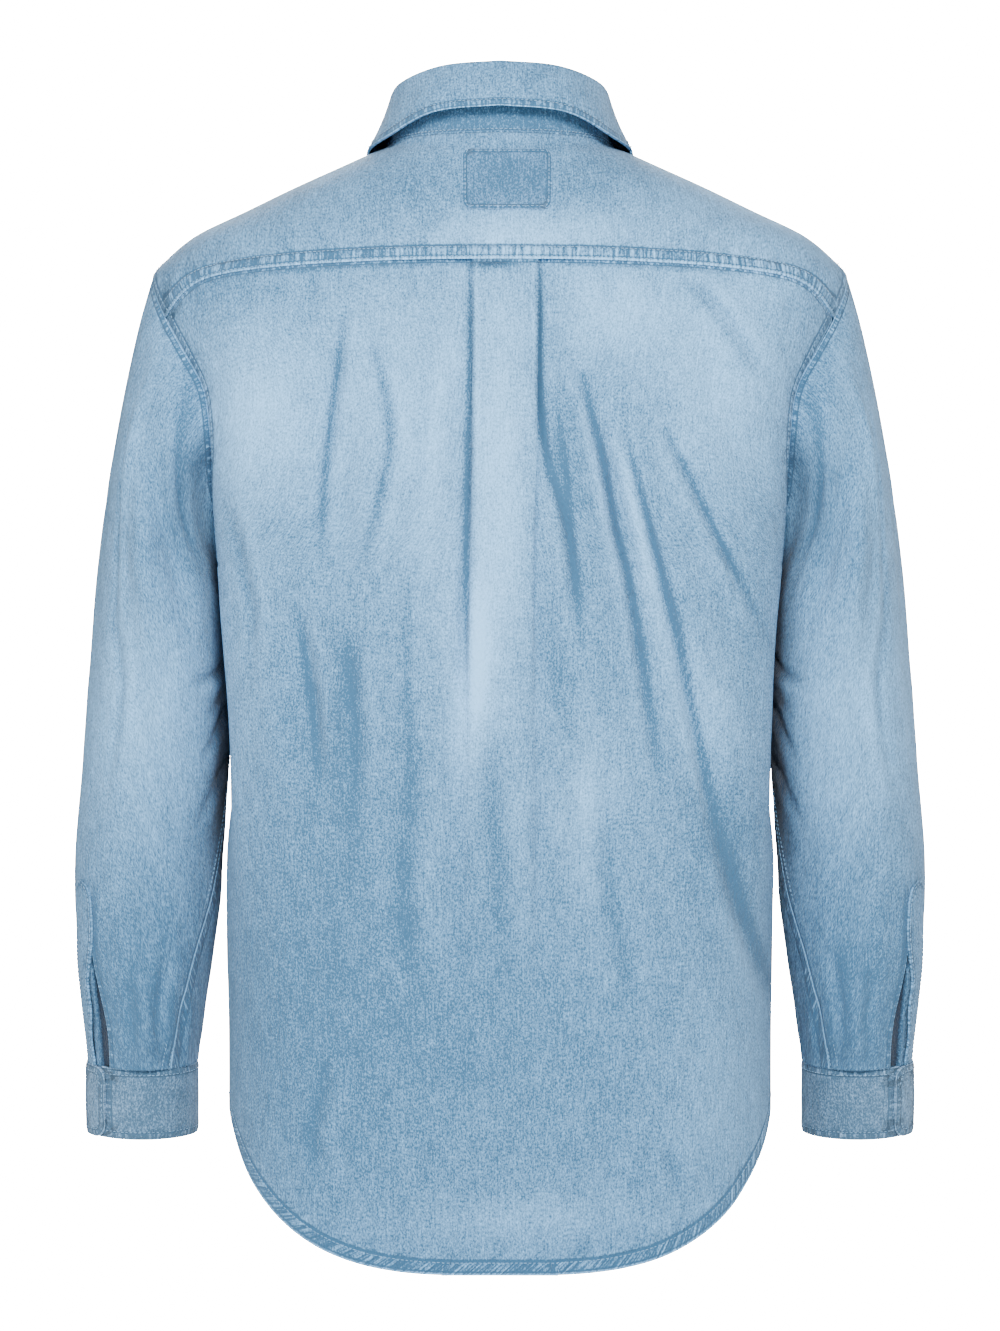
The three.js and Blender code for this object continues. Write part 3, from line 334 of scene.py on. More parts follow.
# Cloth that other cloth keeps the light from: places, half width and how much
SLEEVE_SHADES = [
    ("under the edge of the back",
     [(-22, -186), (-34, -235), (-52, -265), (-68, -300), (-72, -340)], 9, 0.5),
    ("beside the edge of the back", [(-14, -205), (-22, -240), (-38, -275), (-50, -310)], 16, 0.28),
    ("beside the body", [(-74, -290), (-74, -420), (-72, -520)], 20, 0.9),
    ("behind the body", [(-100, -290), (-100, -590)], 24, 0.7),
    ("inner drag shadow", [(-78, -376), (-60, -392), (-46, -402)], 4, 0.35),
]
# Lines on the back: mostly painted shade beside creases, under the yoke seam and beside the pleat's folds,
# and painted highlight on fold ridges and the pleat's edges, with darker dye and paler worn cloth along the
# same lines
BACK_SHADE_AND_WEAR_MARKS = [
    ("under the yoke seam, left", [(22, -92), (110, -94), (160, -97), (200, -104)], 1.8, -0.3),
    ("under the yoke seam, right", [(-22, -92), (-110, -94), (-160, -97), (-200, -104)], 1.8, -0.3),
    ("left of the pleat", [(20.5, -90), (20, -150), (22, -220), (23, -300), (21, -420)], 2.2, -0.6),
    ("right of the pleat",
     [(-27.5, -90), (-27.5, -180), (-29, -210), (-34, -232), (-47, -275), (-56, -320)], 2.2, -0.6),
    ("fan line 1", [(-40, -198), (-46, -249), (-50, -300), (-56, -360)], 2.4, -0.25),
    ("fan line 2",
     [(-57, -168), (-64, -199), (-72, -230), (-80, -275), (-89, -309), (-97, -350), (-112, -450)],
     2.2, -0.42),
    ("fan line 3", RIGHT_FAN_LINE, 2.2, -0.36),
    ("fan line 4", [(-112, -204), (-135, -249), (-150, -281), (-165, -310), (-184, -350)], 2.2, -0.28),
    ("fan shine 2", [(-52, -176), (-59, -206), (-66, -236), (-74, -280), (-84, -320)], 2.6, 0.22),
    ("fan shine 3", [(-81, -215), (-94, -266), (-104, -303), (-116, -352)], 2.6, 0.2),
    ("armhole pull", [(-120, -100), (-144, -124), (-166, -155), (-184, -178)], 2.6, -0.3),
    ("blade line", LEFT_BLADE_LINE, 2.6, -0.26),
    ("blade line, inner", [(88, -140), (76, -193), (75, -221), (85, -262), (92, -296)], 3, -0.2),
    ("waist line, left", [(140, -325), (130, -390), (124, -450)], 2.6, -0.16),
    ("waist line, inner left", [(104, -350), (98, -410), (99, -480)], 3, -0.12),
    ("waist line, middle", [(62, -300), (64, -380), (58, -470)], 4, -0.16),
    ("low line, right", [(-150, -480), (-168, -540), (-190, -600)], 4, -0.24),
    ("left pleat edge", [(15.5, -90), (15, -260)], 1.6, 0.2),
    ("right pleat edge", [(-23, -90), (-23.5, -230)], 1.6, 0.2),
    ("shadow left of the pleat", [(24, -170), (27, -300), (24, -400)], 7, -0.16),
    ("under the yoke seam", [(20, -93), (-24, -93)], 3, -0.6),
    ("pale streak", [(16, -310), (14, -365), (20, -418)], 6, 0.2),
    ("fold mark, right", [(-30, -330), (-48, -420), (-52, -500)], 7, -0.12),
    ("fold mark, left", [(100, -330), (112, -430), (96, -520)], 9, -0.14),
    ("pale between fans", [(-84, -190), (-112, -330)], 8, 0.1),
]
BACK_SHADES = [
    ("left fold of the pleat", [(19.6, -92), (19.4, -180), (21, -300)], 1.8, 0.55),
    ("right fold of the pleat", [(-27, -92), (-27, -190), (-30, -225)], 1.8, 0.55),
    ("under the yoke, at the pleat", [(17, -92), (-6, -92)], 2.4, 0.5),
]

# Paler and darker places: across, height, half sizes, lean, and how much paler. They are partly faded dye
# and partly painted light and shade; on the back the darker places beside the folds and beside the pleat
# are painted shade
BACK_WASH_AND_SHADE = [
    (168, -195, 38, 56, 0, 0.42),
    (66, -185, 62, 100, 0, 0.26),
    (-2, -250, 18, 150, 0, 0.38),
    (19, -378, 12, 56, -0.1, 0.62),
    (27, -250, 8, 110, 0, 0.2),
    (40, -310, 26, 70, 0, 0.14),
    (-78, -122, 38, 38, 0, 0.36),
    (-155, -165, 48, 80, 0, 0.34),
    (-60, -455, 22, 44, 0, 0.26),
    (-140, -395, 24, 44, 0.2, 0.24),
    (-42, -225, 22, 44, 0.1, -0.08),
    (-152, -490, 22, 46, 0, -0.2),
    (150, -590, 110, 150, 0, -0.16),
    (185, -400, 30, 120, 0, 0.12),
    (130, -400, 50, 60, 0, -0.06),
    (-10, -630, 110, 80, 0, -0.08),
    (-150, -665, 34, 60, 0, 0.12),
    (-20, -745, 70, 15, 0, 0.18),
    (200, -104, 50, 22, 0, -0.12),
    (-20, -74, 58, 17, 0, 0.38),
    (113, -38, 26, 20, 0, 0.06),
    (-130, -50, 50, 24, 0, 0.14),
    (66, -44, 40, 26, 0, -0.1),
    (-66, -30, 40, 20, 0, -0.06),
    (180, -80, 30, 20, 0, 0.08),
    (-190, -86, 36, 26, 0, 0.12),
]
FRONT_WASH = [
    (110, -210, 70, 90, 0, 0.32),
    (-110, -200, 70, 90, 0, 0.32),
    (0, -300, 22, 260, 0, 0.16),
    (60, -420, 30, 60, 0, 0.18),
    (-50, -470, 30, 60, 0, 0.16),
    (110, -580, 90, 90, 0, -0.14),
    (-110, -580, 90, 90, 0, -0.14),
    (130, -660, 40, 30, 0, 0.1),
]
SLEEVE_WASH = [
    (20, -400, 70, 76, 0.1, 0.24),
    (0, -610, 120, 90, 0, -0.2),
    (44, -230, 22, 90, 0, 0.12),
    (0, -290, 30, 40, 0, -0.08),
    (180, -400, 60, 110, 0, 0.2),
    (180, -200, 60, 60, 0, 0.1),
]
# Painted shade over the whole collar stand, which sits under the leaf
STAND_SHADE_UNDER_LEAF = [(0, 8, 120, 30, 0, -0.26)]
PLACKET_WASH = [(0, -600, 400, 90, 0, -0.1)]
PATCH_WASH = [(-4, -34, 30, 20, 0, -0.17)]


def smooth(start, end, value):
    share = np.clip((value - start) / (end - start), 0, 1)
    return share * share * (3 - 2 * share)


def mix(start, end, share):
    return start + (end - start) * share


def along(rows, key, column):
    """Smooth curve through one column of a table."""
    order = np.argsort(rows[key])
    keys = rows[key][order]
    values = rows[column][order]
    count = len(keys)
    before = np.maximum(np.arange(count) - 1, 0)
    after = np.minimum(np.arange(count) + 1, count - 1)
    slopes = (values[after] - values[before]) / (keys[after] - keys[before])

    def curve(value):
        value = np.asarray(value, float)
        i = np.clip(np.searchsorted(keys, value) - 1, 0, count - 2)
        span = keys[i + 1] - keys[i]
        t = np.clip((value - keys[i]) / span, 0, 1)
        low = values[i] * (1 + 2 * t) * (1 - t) ** 2 + slopes[i] * span * t * (1 - t) ** 2
        return low + values[i + 1] * t * t * (3 - 2 * t) - slopes[i + 1] * span * t * t * (1 - t)

    return curve


def curves(rows, key):
    return {name: along(rows, key, name) for name in rows if name != key}


body = curves(BODY, "z")
sleeve = curves(SLEEVE, "z")
leaf = curves(LEAF, "turn")
tower = curves(TOWER, "z")
neck_height = along(NECK, "turn", "z")
yoke_seam = along(YOKE_SEAM, "x", "z")

# The armhole as one loop: 0 at the tip, on down the front, and minus up the back
LOOP = {
    "at": np.arange(-LOOP_SIDE, LOOP_SIDE + 1, dtype=float),
    "z": np.concatenate([ARMHOLE["z"][:0:-1], ARMHOLE["z"]]),
    "y": np.concatenate([ARMHOLE["back"][:0:-1], ARMHOLE["front"]]),
}
loop = curves(LOOP, "at")
LOOP_FINE = np.linspace(0, LOOP_SIDE, 240)


def ring(angle, z):
    """Point of a body section, angle from the centre back towards the wearer's left."""
    half = body["half"](z)
    power = body["power"](z)
    depth = np.where(np.cos(angle) > 0, body["back"](z), body["front"](z))
    total = (np.abs(np.sin(angle)) / half) ** power + (np.abs(np.cos(angle)) / depth) ** power
    radius = total ** (-1 / power)
    y = radius * np.cos(angle)
    pressed = body["press"](z) / half * (1 - smooth(PRESS_FULL_Y, PRESS_NONE_Y, y))
    return radius * np.sin(angle) * (1 - pressed), y


def line_height(lines, across, z):
    """Height of folds that each follow a bent line, with a lower ridge beside those that lean."""
    height = np.zeros(np.broadcast(across, z).shape)
    for _, places, wide, deep, lean in lines:
        places = np.array(places, float)
        parts = np.diff(places, axis=0)
        lengths = np.hypot(parts[:, 0], parts[:, 1])
        starts = np.concatenate([[0], np.cumsum(lengths)])
        nearest = np.full(height.shape, np.inf)
        share = np.zeros(height.shape)
        side = np.zeros(height.shape)
        for k, (dx, dz) in enumerate(parts):
            away_x = across - places[k, 0]
            away_z = z - places[k, 1]
            t = (away_x * dx + away_z * dz) / lengths[k] ** 2
            held = np.clip(t, 0, 1)
            away = np.hypot(away_x - dx * held, away_z - dz * held)
            free = np.where(k == 0, np.minimum(t, 1), held)
            free = np.where((k == len(parts) - 1) & (t > 0), t, free)
            better = away < nearest
            nearest = np.where(better, away, nearest)
            share = np.where(better, (starts[k] + free * lengths[k]) / starts[-1], share)
            side = np.where(better, np.sign(away_x * dz - away_z * dx), side)
        fade = smooth(-0.15, 0.25, share) * (1 - smooth(0.6, 1.15, share))
        width = wide * (1 + lean * side)
        beside = nearest * side * (1 if lean >= 0 else -1) - 2 * wide
        bend = np.exp(-((nearest / width) ** 2))
        if lean:
            bend = bend - 0.5 * np.exp(-((beside / wide / 1.2) ** 2))
        height = height + deep * fade * bend
    return height


def value_noise(x, y, seed):
    """Smooth noise from -0.5 to 0.5 on a grid of seeded numbers."""
    count = 64
    numbers = np.random.default_rng(seed).random((count, count))
    x0 = np.floor(x).astype(int)
    y0 = np.floor(y).astype(int)
    fx = smooth(0, 1, x - x0)
    fy = smooth(0, 1, y - y0)
    at = lambda i, j: numbers[i % count, j % count]
    low = mix(at(x0, y0), at(x0 + 1, y0), fx)
    high = mix(at(x0, y0 + 1), at(x0 + 1, y0 + 1), fx)
    return mix(low, high, fy) - 0.5


def ripple(across, z, seed):
    """Small uneven waves of washed cloth, longer down than across."""
    wander = 9 * value_noise(across / 60, z / 60, seed + 1)
    broad = value_noise((across + wander) / 26, z / 70, seed)
    fine = value_noise((across + wander) / 11, z / 30, seed + 2)
    return 2.2 * broad + 0.8 * fine


def body_lines(across, z, on_back):
    folds = BACK_FOLDS if on_back else FRONT_FOLDS
    creases = BACK_CREASES if on_back else FRONT_CREASES
    return line_height(folds, across, z) + line_height(creases, across, z)


def tone_of(creases, painted, across, z):
    """How the creases and marks change the tone: darker dye in troughs and paler worn ridges, and with them
    painted shade in troughs, under seams and beside folds, and painted highlight on ridges.
    """
    marks = [(*mark, 0) for mark in painted]
    return CREASE_TONE * line_height(creases, across, z) + line_height(marks, across, z)


def shades_of(shades, across, z):
    return np.clip(line_height([(*shade, 0) for shade in shades], across, z), 0, 0.95)


def crease_lines(grid, on_back):
    if on_back:
        return tone_of(BACK_CREASES, BACK_SHADE_AND_WEAR_MARKS, grid[..., 0], grid[..., 2])
    return tone_of(FRONT_CREASES, [], grid[..., 0], grid[..., 2])


def body_point(angle, z, lift):
    """Point of the dressed body, moved out by lift."""
    angle, z, lift = np.broadcast_arrays(angle, np.asarray(z, float), lift)
    x, y = ring(angle, z)
    ahead_x, ahead_y = ring(angle + 0.004, z)
    behind_x, behind_y = ring(angle - 0.004, z)
    length = np.hypot(ahead_x - behind_x, ahead_y - behind_y)
    tangent_x = (ahead_x - behind_x) / length
    tangent_y = (ahead_y - behind_y) / length
    on_back = np.cos(angle) > 0
    lines = np.where(on_back, body_lines(x, z, True), body_lines(x, z, False))
    lines = lines + np.where(on_back, ripple(x, z, 11), ripple(x, z, 23)) * smooth(0, -60, z)
    out = lift + lines * smooth(0, 40, np.abs(y))
    return np.stack([x - tangent_y * out, y + tangent_x * out, z], -1)


def ring_lengths(z, start, end):
    shares = np.linspace(0, 1, RING_STEPS + 1)
    angles = start[..., None] + (end - start)[..., None] * shares
    x, y = ring(angles, z[..., None])
    parts = np.hypot(np.diff(x), np.diff(y))
    return np.concatenate([np.zeros(parts.shape[:-1] + (1,)), np.cumsum(parts, -1)], -1)


def angle_along(z, start, end, share):
    """Angle at a share of the way round a section."""
    z, start, end, share = np.broadcast_arrays(*(np.asarray(a, float) for a in (z, start, end, share)))
    lengths = ring_lengths(z, start, end)
    target = share * lengths[..., -1]
    i = np.clip((lengths < target[..., None]).sum(-1) - 1, 0, RING_STEPS - 1)[..., None]
    low = np.take_along_axis(lengths, i, -1)[..., 0]
    high = np.take_along_axis(lengths, i + 1, -1)[..., 0]
    return mix(start, end, (i[..., 0] + (target - low) / (high - low)) / RING_STEPS)


def share_along(z, start, end, angle):
    z, start, end, angle = np.broadcast_arrays(*(np.asarray(a, float) for a in (z, start, end, angle)))
    lengths = ring_lengths(z, start, end)
    place = np.clip((angle - start) / (end - start), 0, 1) * RING_STEPS
    i = np.clip(np.floor(place).astype(int), 0, RING_STEPS - 1)[..., None]
    low = np.take_along_axis(lengths, i, -1)[..., 0]
    high = np.take_along_axis(lengths, i + 1, -1)[..., 0]
    return mix(low, high, place - i[..., 0]) / lengths[..., -1]


def angle_at_x(x, z, on_back):
    """Angle of the point of a section at a distance from the middle, on the back or the front."""
    x, z = np.broadcast_arrays(np.asarray(x, float), np.asarray(z, float))
    low = np.full(x.shape, 0.0 if on_back else math.pi / 2)
    high = low + math.pi / 2
    for _ in range(34):
        middle = (low + high) / 2
        to_high = (ring(middle, z)[0] > np.abs(x)) == on_back
        high = np.where(to_high, middle, high)
        low = np.where(to_high, low, middle)
    angle = (low + high) / 2
    return np.where(x >= 0, angle, -angle if on_back else 2 * math.pi - angle)


def edge_angle(z, on_back):
    """Angle of the armhole edge or, below it, of the side seam."""
    z = np.asarray(z, float)
    sign = -1 if on_back else 1
    heights = loop["z"](sign * LOOP_FINE)
    wanted = np.interp(-z, -heights, loop["y"](sign * LOOP_FINE))
    low = np.full(z.shape, 0.2)
    high = np.full(z.shape, math.pi - 0.2)
    for _ in range(34):
        middle = (low + high) / 2
        behind = ring(middle, z)[1] > wanted
        low = np.where(behind, middle, low)
        high = np.where(behind, high, middle)
    outside = (z >= ARMHOLE["z"][0]) | (z <= ARMHOLE["z"][-1])
    return np.where(outside, math.pi / 2, (low + high) / 2)


def neck_place(turn):
    z = neck_height(turn)
    x = NECK_HALF_WIDTH * np.sin(np.radians(turn))
    angle = np.where(np.asarray(turn) <= 90, angle_at_x(x, z, True), angle_at_x(x, z, False))
    return angle, z


def neck_turn_at_x(x):
    return 180 - np.degrees(np.arcsin(np.asarray(x) / NECK_HALF_WIDTH))


def tail_drop(share, drop):
    """Drop of the shirt tail below the side hem, at a share of the half width."""
    return drop * (1 - np.minimum(1, np.abs(share)) ** 3.4) ** 0.62


def hem_height(angle, drop):
    across = ring(angle, np.full(np.shape(angle), float(HEM_RING_Z)))[0] / body["half"](HEM_RING_Z)
    return SIDE_HEM_Z - tail_drop(across, drop)


def steps_between(start, end, size=GRID):
    return np.linspace(start, end, max(2, int(round(abs(end - start) / size)) + 1))


def down_shares(corner, on_back):
    """Shares down a panel: along the armhole, along the side seam, and closer at the hem."""
    sign = -1 if on_back else 1
    at = np.linspace(corner, LOOP_SIDE, ARMHOLE_ROWS)
    top = loop["z"](sign * float(corner))
    upper = loop["z"](sign * at)
    lower = steps_between(ARMHOLE["z"][-1], SIDE_HEM_Z, DOWN)[1:]
    return (np.concatenate([upper, lower]) - top) / (SIDE_HEM_Z - top)


def yoke_columns():
    x = steps_between(0, YOKE_REACH, 3)
    z = yoke_seam(x)
    corner = loop["z"](-float(BACK_CORNER))
    corner_x = ring(edge_angle(np.array([corner]), True), np.array([corner]))[0][0]
    x = x * corner_x / YOKE_REACH
    z = yoke_seam(x)
    z[-1] = corner
    angle = angle_at_x(x, z, True)
    turn = YOKE_CORNER_TURN * x / corner_x
    over = np.linspace(-BACK_CORNER, FRONT_CORNER, OVER_COLUMNS)[1:]
    over_turn = np.interp(over, YOKE_TURNS["at"], YOKE_TURNS["turn"])
    over_z = loop["z"](over)
    over_angle = np.where(over <= 0, edge_angle(over_z, True), edge_angle(over_z, False))
    columns = ((turn, over_turn), (angle, over_angle), (z, over_z))
    return tuple(np.concatenate(parts) for parts in columns)


def yoke_place(turn, outer_angle, outer_z, share):
    angle, z = neck_place(turn)
    return mix(angle, outer_angle, share), mix(z, outer_z, share)


def fan_out(values, sign=1):
    """A half row, from the middle out, as a whole row."""
    return np.concatenate([sign * values[..., :0:-1], values], -1)


def yoke_grid():
    turn, angle, z = yoke_columns()
    turn, z = fan_out(turn), fan_out(z)
    side = np.where(np.arange(len(turn)) < len(angle) - 1, -1, 1)
    angle = fan_out(angle)
    near_seam = [0.885, 0.9, 0.915, 0.94, 0.965, 0.982, 0.992, 1]
    shares = np.concatenate([np.linspace(0, 0.86, 30), near_seam])[:, None]
    place_angle, place_z = yoke_place(turn[None], angle[None], z[None], shares)
    lift = 0.3 + 0.7 * smooth(0.875, 0.905, shares) - 0.5 * smooth(0.98, 1, shares)
    on_back = np.cos(angle)[None] * np.ones_like(shares) > 0.35
    lift = np.where(on_back, lift, 0.3)
    return body_point(side * place_angle, place_z, lift)


def pleat_columns():
    """Rows of the pleat table and the shares between them for each fine column."""
    index = []
    for row, count in enumerate(PLEAT["steps"]):
        index.extend(row + np.arange(count) / count if count else [float(row)])
    return np.array(index[:-1])


def back_grid():
    corner = float(loop["z"](-float(BACK_CORNER)))
    corner_x = ring(edge_angle(np.array([corner]), True), np.array([corner]))[0][0]
    x = steps_between(PLEAT_END, corner_x, ACROSS)
    z = yoke_seam(x)
    z[-1] = corner
    edge = edge_angle(z, True)
    share_out = share_along(z, 0, edge, angle_at_x(x, z, True))
    share_out[-1] = 1
    hem = hem_height(angle_along(HEM_RING_Z, 0, math.pi / 2, share_out), BACK_TAIL_DROP)
    shares = down_shares(BACK_CORNER, True)[:, None]
    middle_z = mix(yoke_seam(0), SIDE_HEM_Z - BACK_TAIL_DROP, shares)
    opened = smooth(PLEAT_FADE_TOP_Z, PLEAT_FADE_END_Z, middle_z)
    fall = 1 - smooth(-500, -640, middle_z)
    at = pleat_columns()
    row = np.arange(len(PLEAT["at"]))
    distance = mix(np.interp(at, row, PLEAT["at"]), np.interp(at, row, PLEAT["openAt"]), opened)
    up = mix(np.interp(at, row, PLEAT["up"]), np.interp(at, row, PLEAT["openUp"]) * fall, opened)
    pleat_z = middle_z + (1 - shares) * (yoke_seam(distance) - yoke_seam(0))
    panel_z = mix(z, hem, shares)
    panel_edge = edge_angle(panel_z, True)
    panel_angle = angle_along(panel_z, 0, panel_edge, share_out)
    eased = mix(-1.1, 0, opened) * (1 - smooth(0.17, 0.3, share_out))
    tuck = -0.9 * (1 - smooth(0, 0.006, shares))
    shift = PLEAT_SHIFT * (1 - opened) * (1 - smooth(26, PLEAT_END, distance))
    halves = []
    for side in (-1, 1):
        pleat_angle = angle_at_x(side * distance + shift, pleat_z, True)
        pleat = body_point(pleat_angle, pleat_z, up - CLOTH / 2 + tuck)
        rest = body_point(side * panel_angle, panel_z, eased - CLOTH / 2 + tuck)
        halves.append(np.concatenate([pleat, rest], 1))
    return np.concatenate([halves[0][:, :0:-1], halves[1]], 1)


# Columns of the front that start on the yoke seam: share along it, and share of the way round they end at
SETTLED = table("seam round", [
    (0, 0.63), (0.15, 0.54), (0.35, 0.45), (0.55, 0.36), (0.72, 0.27), (0.84, 0.18), (0.93, 0.09), (1, 0),
])


def front_grid(end_x, recess, side):
    turn, angle, z = (values[-1] for values in yoke_columns())
    seam_share = np.linspace(1, 0, 44)
    top_angle, top_z = yoke_place(turn, angle, z, seam_share)
    neck_x = steps_between(ring(*neck_place(float(turn)))[0] - 2, end_x, ACROSS)
    neck_z = neck_place(neck_turn_at_x(neck_x))[1]
    settled_z = np.array(-400.0)
    end_settled = angle_at_x(end_x, settled_z, False)
    settled = np.concatenate([
        np.interp(seam_share, SETTLED["seam"], SETTLED["round"]),
        share_along(settled_z, math.pi / 2, end_settled, angle_at_x(neck_x, settled_z, False)),
    ])
    top_x = np.concatenate([ring(top_angle, top_z)[0], neck_x])
    top_z = np.concatenate([top_z, neck_z])
    hem_end = angle_at_x(end_x, float(HEM_RING_Z), False)
    hem = hem_height(angle_along(HEM_RING_Z, math.pi / 2, hem_end, settled), FRONT_TAIL_DROP)
    shares = down_shares(FRONT_CORNER, False)[:, None]
    at_z = mix(top_z, hem, shares)
    edge = edge_angle(at_z, False)
    end = angle_at_x(end_x, at_z, False)
    clear = np.where(shares == 0, 0, angle_along(at_z, edge, end, 0.5 * settled))
    straight = np.maximum(angle_at_x(top_x, at_z, False), clear)
    straight[:, 0] = edge[:, 0]
    place = mix(straight, angle_along(at_z, edge, end, settled), smooth(0, 0.35, shares))
    x = ring(place, at_z)[0]
    sunk = recess * (1 - smooth(PLACKET_HALF_WIDTH + 1.4, PLACKET_HALF_WIDTH + 12, x))
    grid = body_point(side * place, at_z, -sunk)
    return grid if side > 0 else grid[:, ::-1]


def band_grid():
    x = np.array([16, 15.4, 14, 11.5, 8, 4, 0, -4, -8, -11.5, -14, -15.4, -16.0])
    shares = down_shares(FRONT_CORNER, False)[:, None]
    hem = SIDE_HEM_Z - tail_drop(x / body["half"](HEM_RING_Z), FRONT_TAIL_DROP)
    z = mix(neck_height(neck_turn_at_x(x)), hem, shares)
    rounded = 0.5 * smooth(14.5, 16, np.abs(x))
    return body_point(angle_at_x(x + 0 * z, z, False), z, PLACKET_PROUD - rounded)


def sleeve_lines(across, z):
    ripples = ripple(across, z, 41)
    return line_height(SLEEVE_FOLDS, across, z) + line_height(SLEEVE_CREASES, across, z) + ripples


def folds_round(turn, z, radius):
    """Folds of the sleeve at a turn, which the CAD lays out in degrees times the radius."""
    turn = np.where(turn > 270, turn - 360, turn)
    return sleeve_lines(np.radians(turn) * radius, z)


def sleeve_point(turn, z, lift):
    turn, z, lift = np.broadcast_arrays(turn, np.asarray(z, float), lift)
    angle = np.radians(turn)
    inner = sleeve["inner"](z)
    half = (sleeve["outer"](z) - inner) / 2
    depth = sleeve["depth"](z)
    out = lift + folds_round(turn, z, (half + depth) / 2)
    forward = np.cos(angle) * (depth + out)
    x = inner + half + np.sin(angle) * (half + out)
    return np.stack([x, sleeve["y"](z) + forward, z - sleeve["tilt"](z) * forward], -1)


def armhole_points(at, lift=0):
    z = loop["z"](at)
    angle = np.where(at <= 0, edge_angle(z, True), edge_angle(z, False))
    return body_point(angle, z, lift)


def sleeve_turns(z):
    """Places round the sleeve, their turns at rest and opened at the slit, and the cloth's lift there."""
    slit_at = (SLIT_TURN - SLEEVE_FIRST_TURN) / SLEEVE_TURN_STEP
    at = np.linspace(-LOOP_SIDE, LOOP_SIDE, 133)[:-1]
    close = slit_at + np.array([-0.05, -0.03, 0, 0.03, 0.05])
    at = np.sort(np.concatenate([at[np.abs(at - slit_at) > 0.1], close]))
    turns = SLEEVE_FIRST_TURN + SLEEVE_TURN_STEP * at
    away = turns - SLIT_TURN
    gape = np.where(away < 0, SLIT_GAPE, 1.5) * smooth(SLIT_TOP_Z, SLIT_WIDE_Z, z)
    shift = np.clip(away / 0.7, -1, 1) * gape * np.exp(-((away / 14) ** 2))
    sunk = -SLIT_DEPTH * smooth(SLIT_TOP_Z, SLIT_TOP_Z - 14, z) * (np.abs(away) < 0.6)
    return at, turns, turns + shift, sunk


def sleeve_grid():
    at, turns, _, _ = sleeve_turns(0)
    start = armhole_points(at)
    end = sleeve_point(turns, CAP_END_Z, 0)
    below = sleeve_point(turns, CAP_END_Z - 20, 0)
    t = np.linspace(0, 1, 56)[:-1, None, None]
    t = t * (0.7 + 0.3 * t)
    reach = np.linalg.norm(start - end, axis=-1, keepdims=True)
    low = smooth(0, 0.45, (ARMHOLE["z"][0] - start[:, 2]) / (ARMHOLE["z"][0] - ARMHOLE["z"][-1]))
    aim = np.stack([mix(0.3, 0.8, low), 0.3 * np.sign(start[:, 1]) * low, mix(-0.95, -0.55, low)], -1)
    leave = aim / np.linalg.norm(aim, axis=-1, keepdims=True) * reach
    arrive = below - end
    arrive = arrive / np.linalg.norm(arrive, axis=-1, keepdims=True) * reach * 0.9
    cap = start * (1 + 2 * t) * (1 - t) ** 2 + leave * t * (1 - t) ** 2
    cap = cap + end * t * t * (3 - 2 * t) - arrive * t * t * (1 - t)
    share = t[..., 0]
    away = np.stack([np.sin(np.radians(turns)), np.cos(np.radians(turns)), 0 * turns], -1)
    fold = folds_round(turns, cap[..., 2], CAP_RADIUS)
    fold = fold * smooth(0, 0.3, share) * (1 - smooth(0.75, 1, share))
    cap = cap + away * fold[..., None]
    heights = steps_between(CAP_END_Z, SLEEVE_END_Z)
    lower = []
    slit = []
    for z in heights:
        opened, sunk = sleeve_turns(z)[2:]
        lower.append(sleeve_point(opened, z, sunk))
        slit.append(-sunk / SLIT_DEPTH)
    tucked = []
    for drop, inward in ((0.6, 2.5), (2, 4.6), (6, 4.8)):
        tucked.append(sleeve_point(turns, SLEEVE_END_Z - drop, -inward))
    # Rows of painted shade in the open slit: 1 where its columns are sunk, none on the cap or the tucked
    # end
    dark = np.concatenate([0 * cap[..., 0], np.array(slit), np.zeros((len(tucked), len(turns)))])
    return np.concatenate([cap, np.array(lower), np.array(tucked)]), dark


def tower_grid():
    z = np.concatenate([[-512, -512.8, -514, -516, -518.5], steps_between(-521, -640, 3)])[:, None]
    share = np.array([0, 0.04, 0.12, 0.25, 0.4, 0.55, 0.7, 0.85, 0.95, 1])
    gape = 1.8 * (1 - share) * smooth(SLIT_TOP_Z, -585, z)
    wave = 0.5 * np.sin(z / 9) * smooth(-555, -585, z) * (1 - share)
    edge = 0.35 * (1 - smooth(0, 0.12, share)) + 0.35 * smooth(0.88, 1, share)
    sway = 0.9 * np.sin(z / 7) * smooth(-552, -570, z) * (1 - share)
    turn = mix(tower["start"](z), tower["end"](z), share) - sway
    return sleeve_point(turn, z + 0 * share, 1.6 + LAY_GAP + gape + wave - edge)


def cuff_point(length, share):
    inset = CUFF_CORNER - np.minimum(length, CUFF_CORNER)
    cut = CUFF_CORNER - np.sqrt(CUFF_CORNER ** 2 - inset ** 2)
    z = mix(CUFF_TOP_Z - cut, CUFF_BOTTOM_Z + cut, share)
    lift = (FOLDED_CLOTH + LAY_GAP) * (1 - smooth(CUFF_OVERLAP, CUFF_OVERLAP + 18, length))
    puff = 0.7 * np.sin(np.pi * share) + 0.8 * value_noise(length / 16, share * 3, 5)
    out = CUFF_RADIUS + lift + puff - 0.5 * smooth(0.9, 1, np.abs(2 * share - 1))
    angle = math.radians(CUFF_END_TURN) + length / CUFF_RADIUS
    forward = np.cos(angle) * out
    middle = (sleeve["inner"](z) + sleeve["outer"](z)) / 2
    x = middle + np.sin(angle) * out
    return np.stack([x, sleeve["y"](z) + forward, z - sleeve["tilt"](z) * forward], -1)


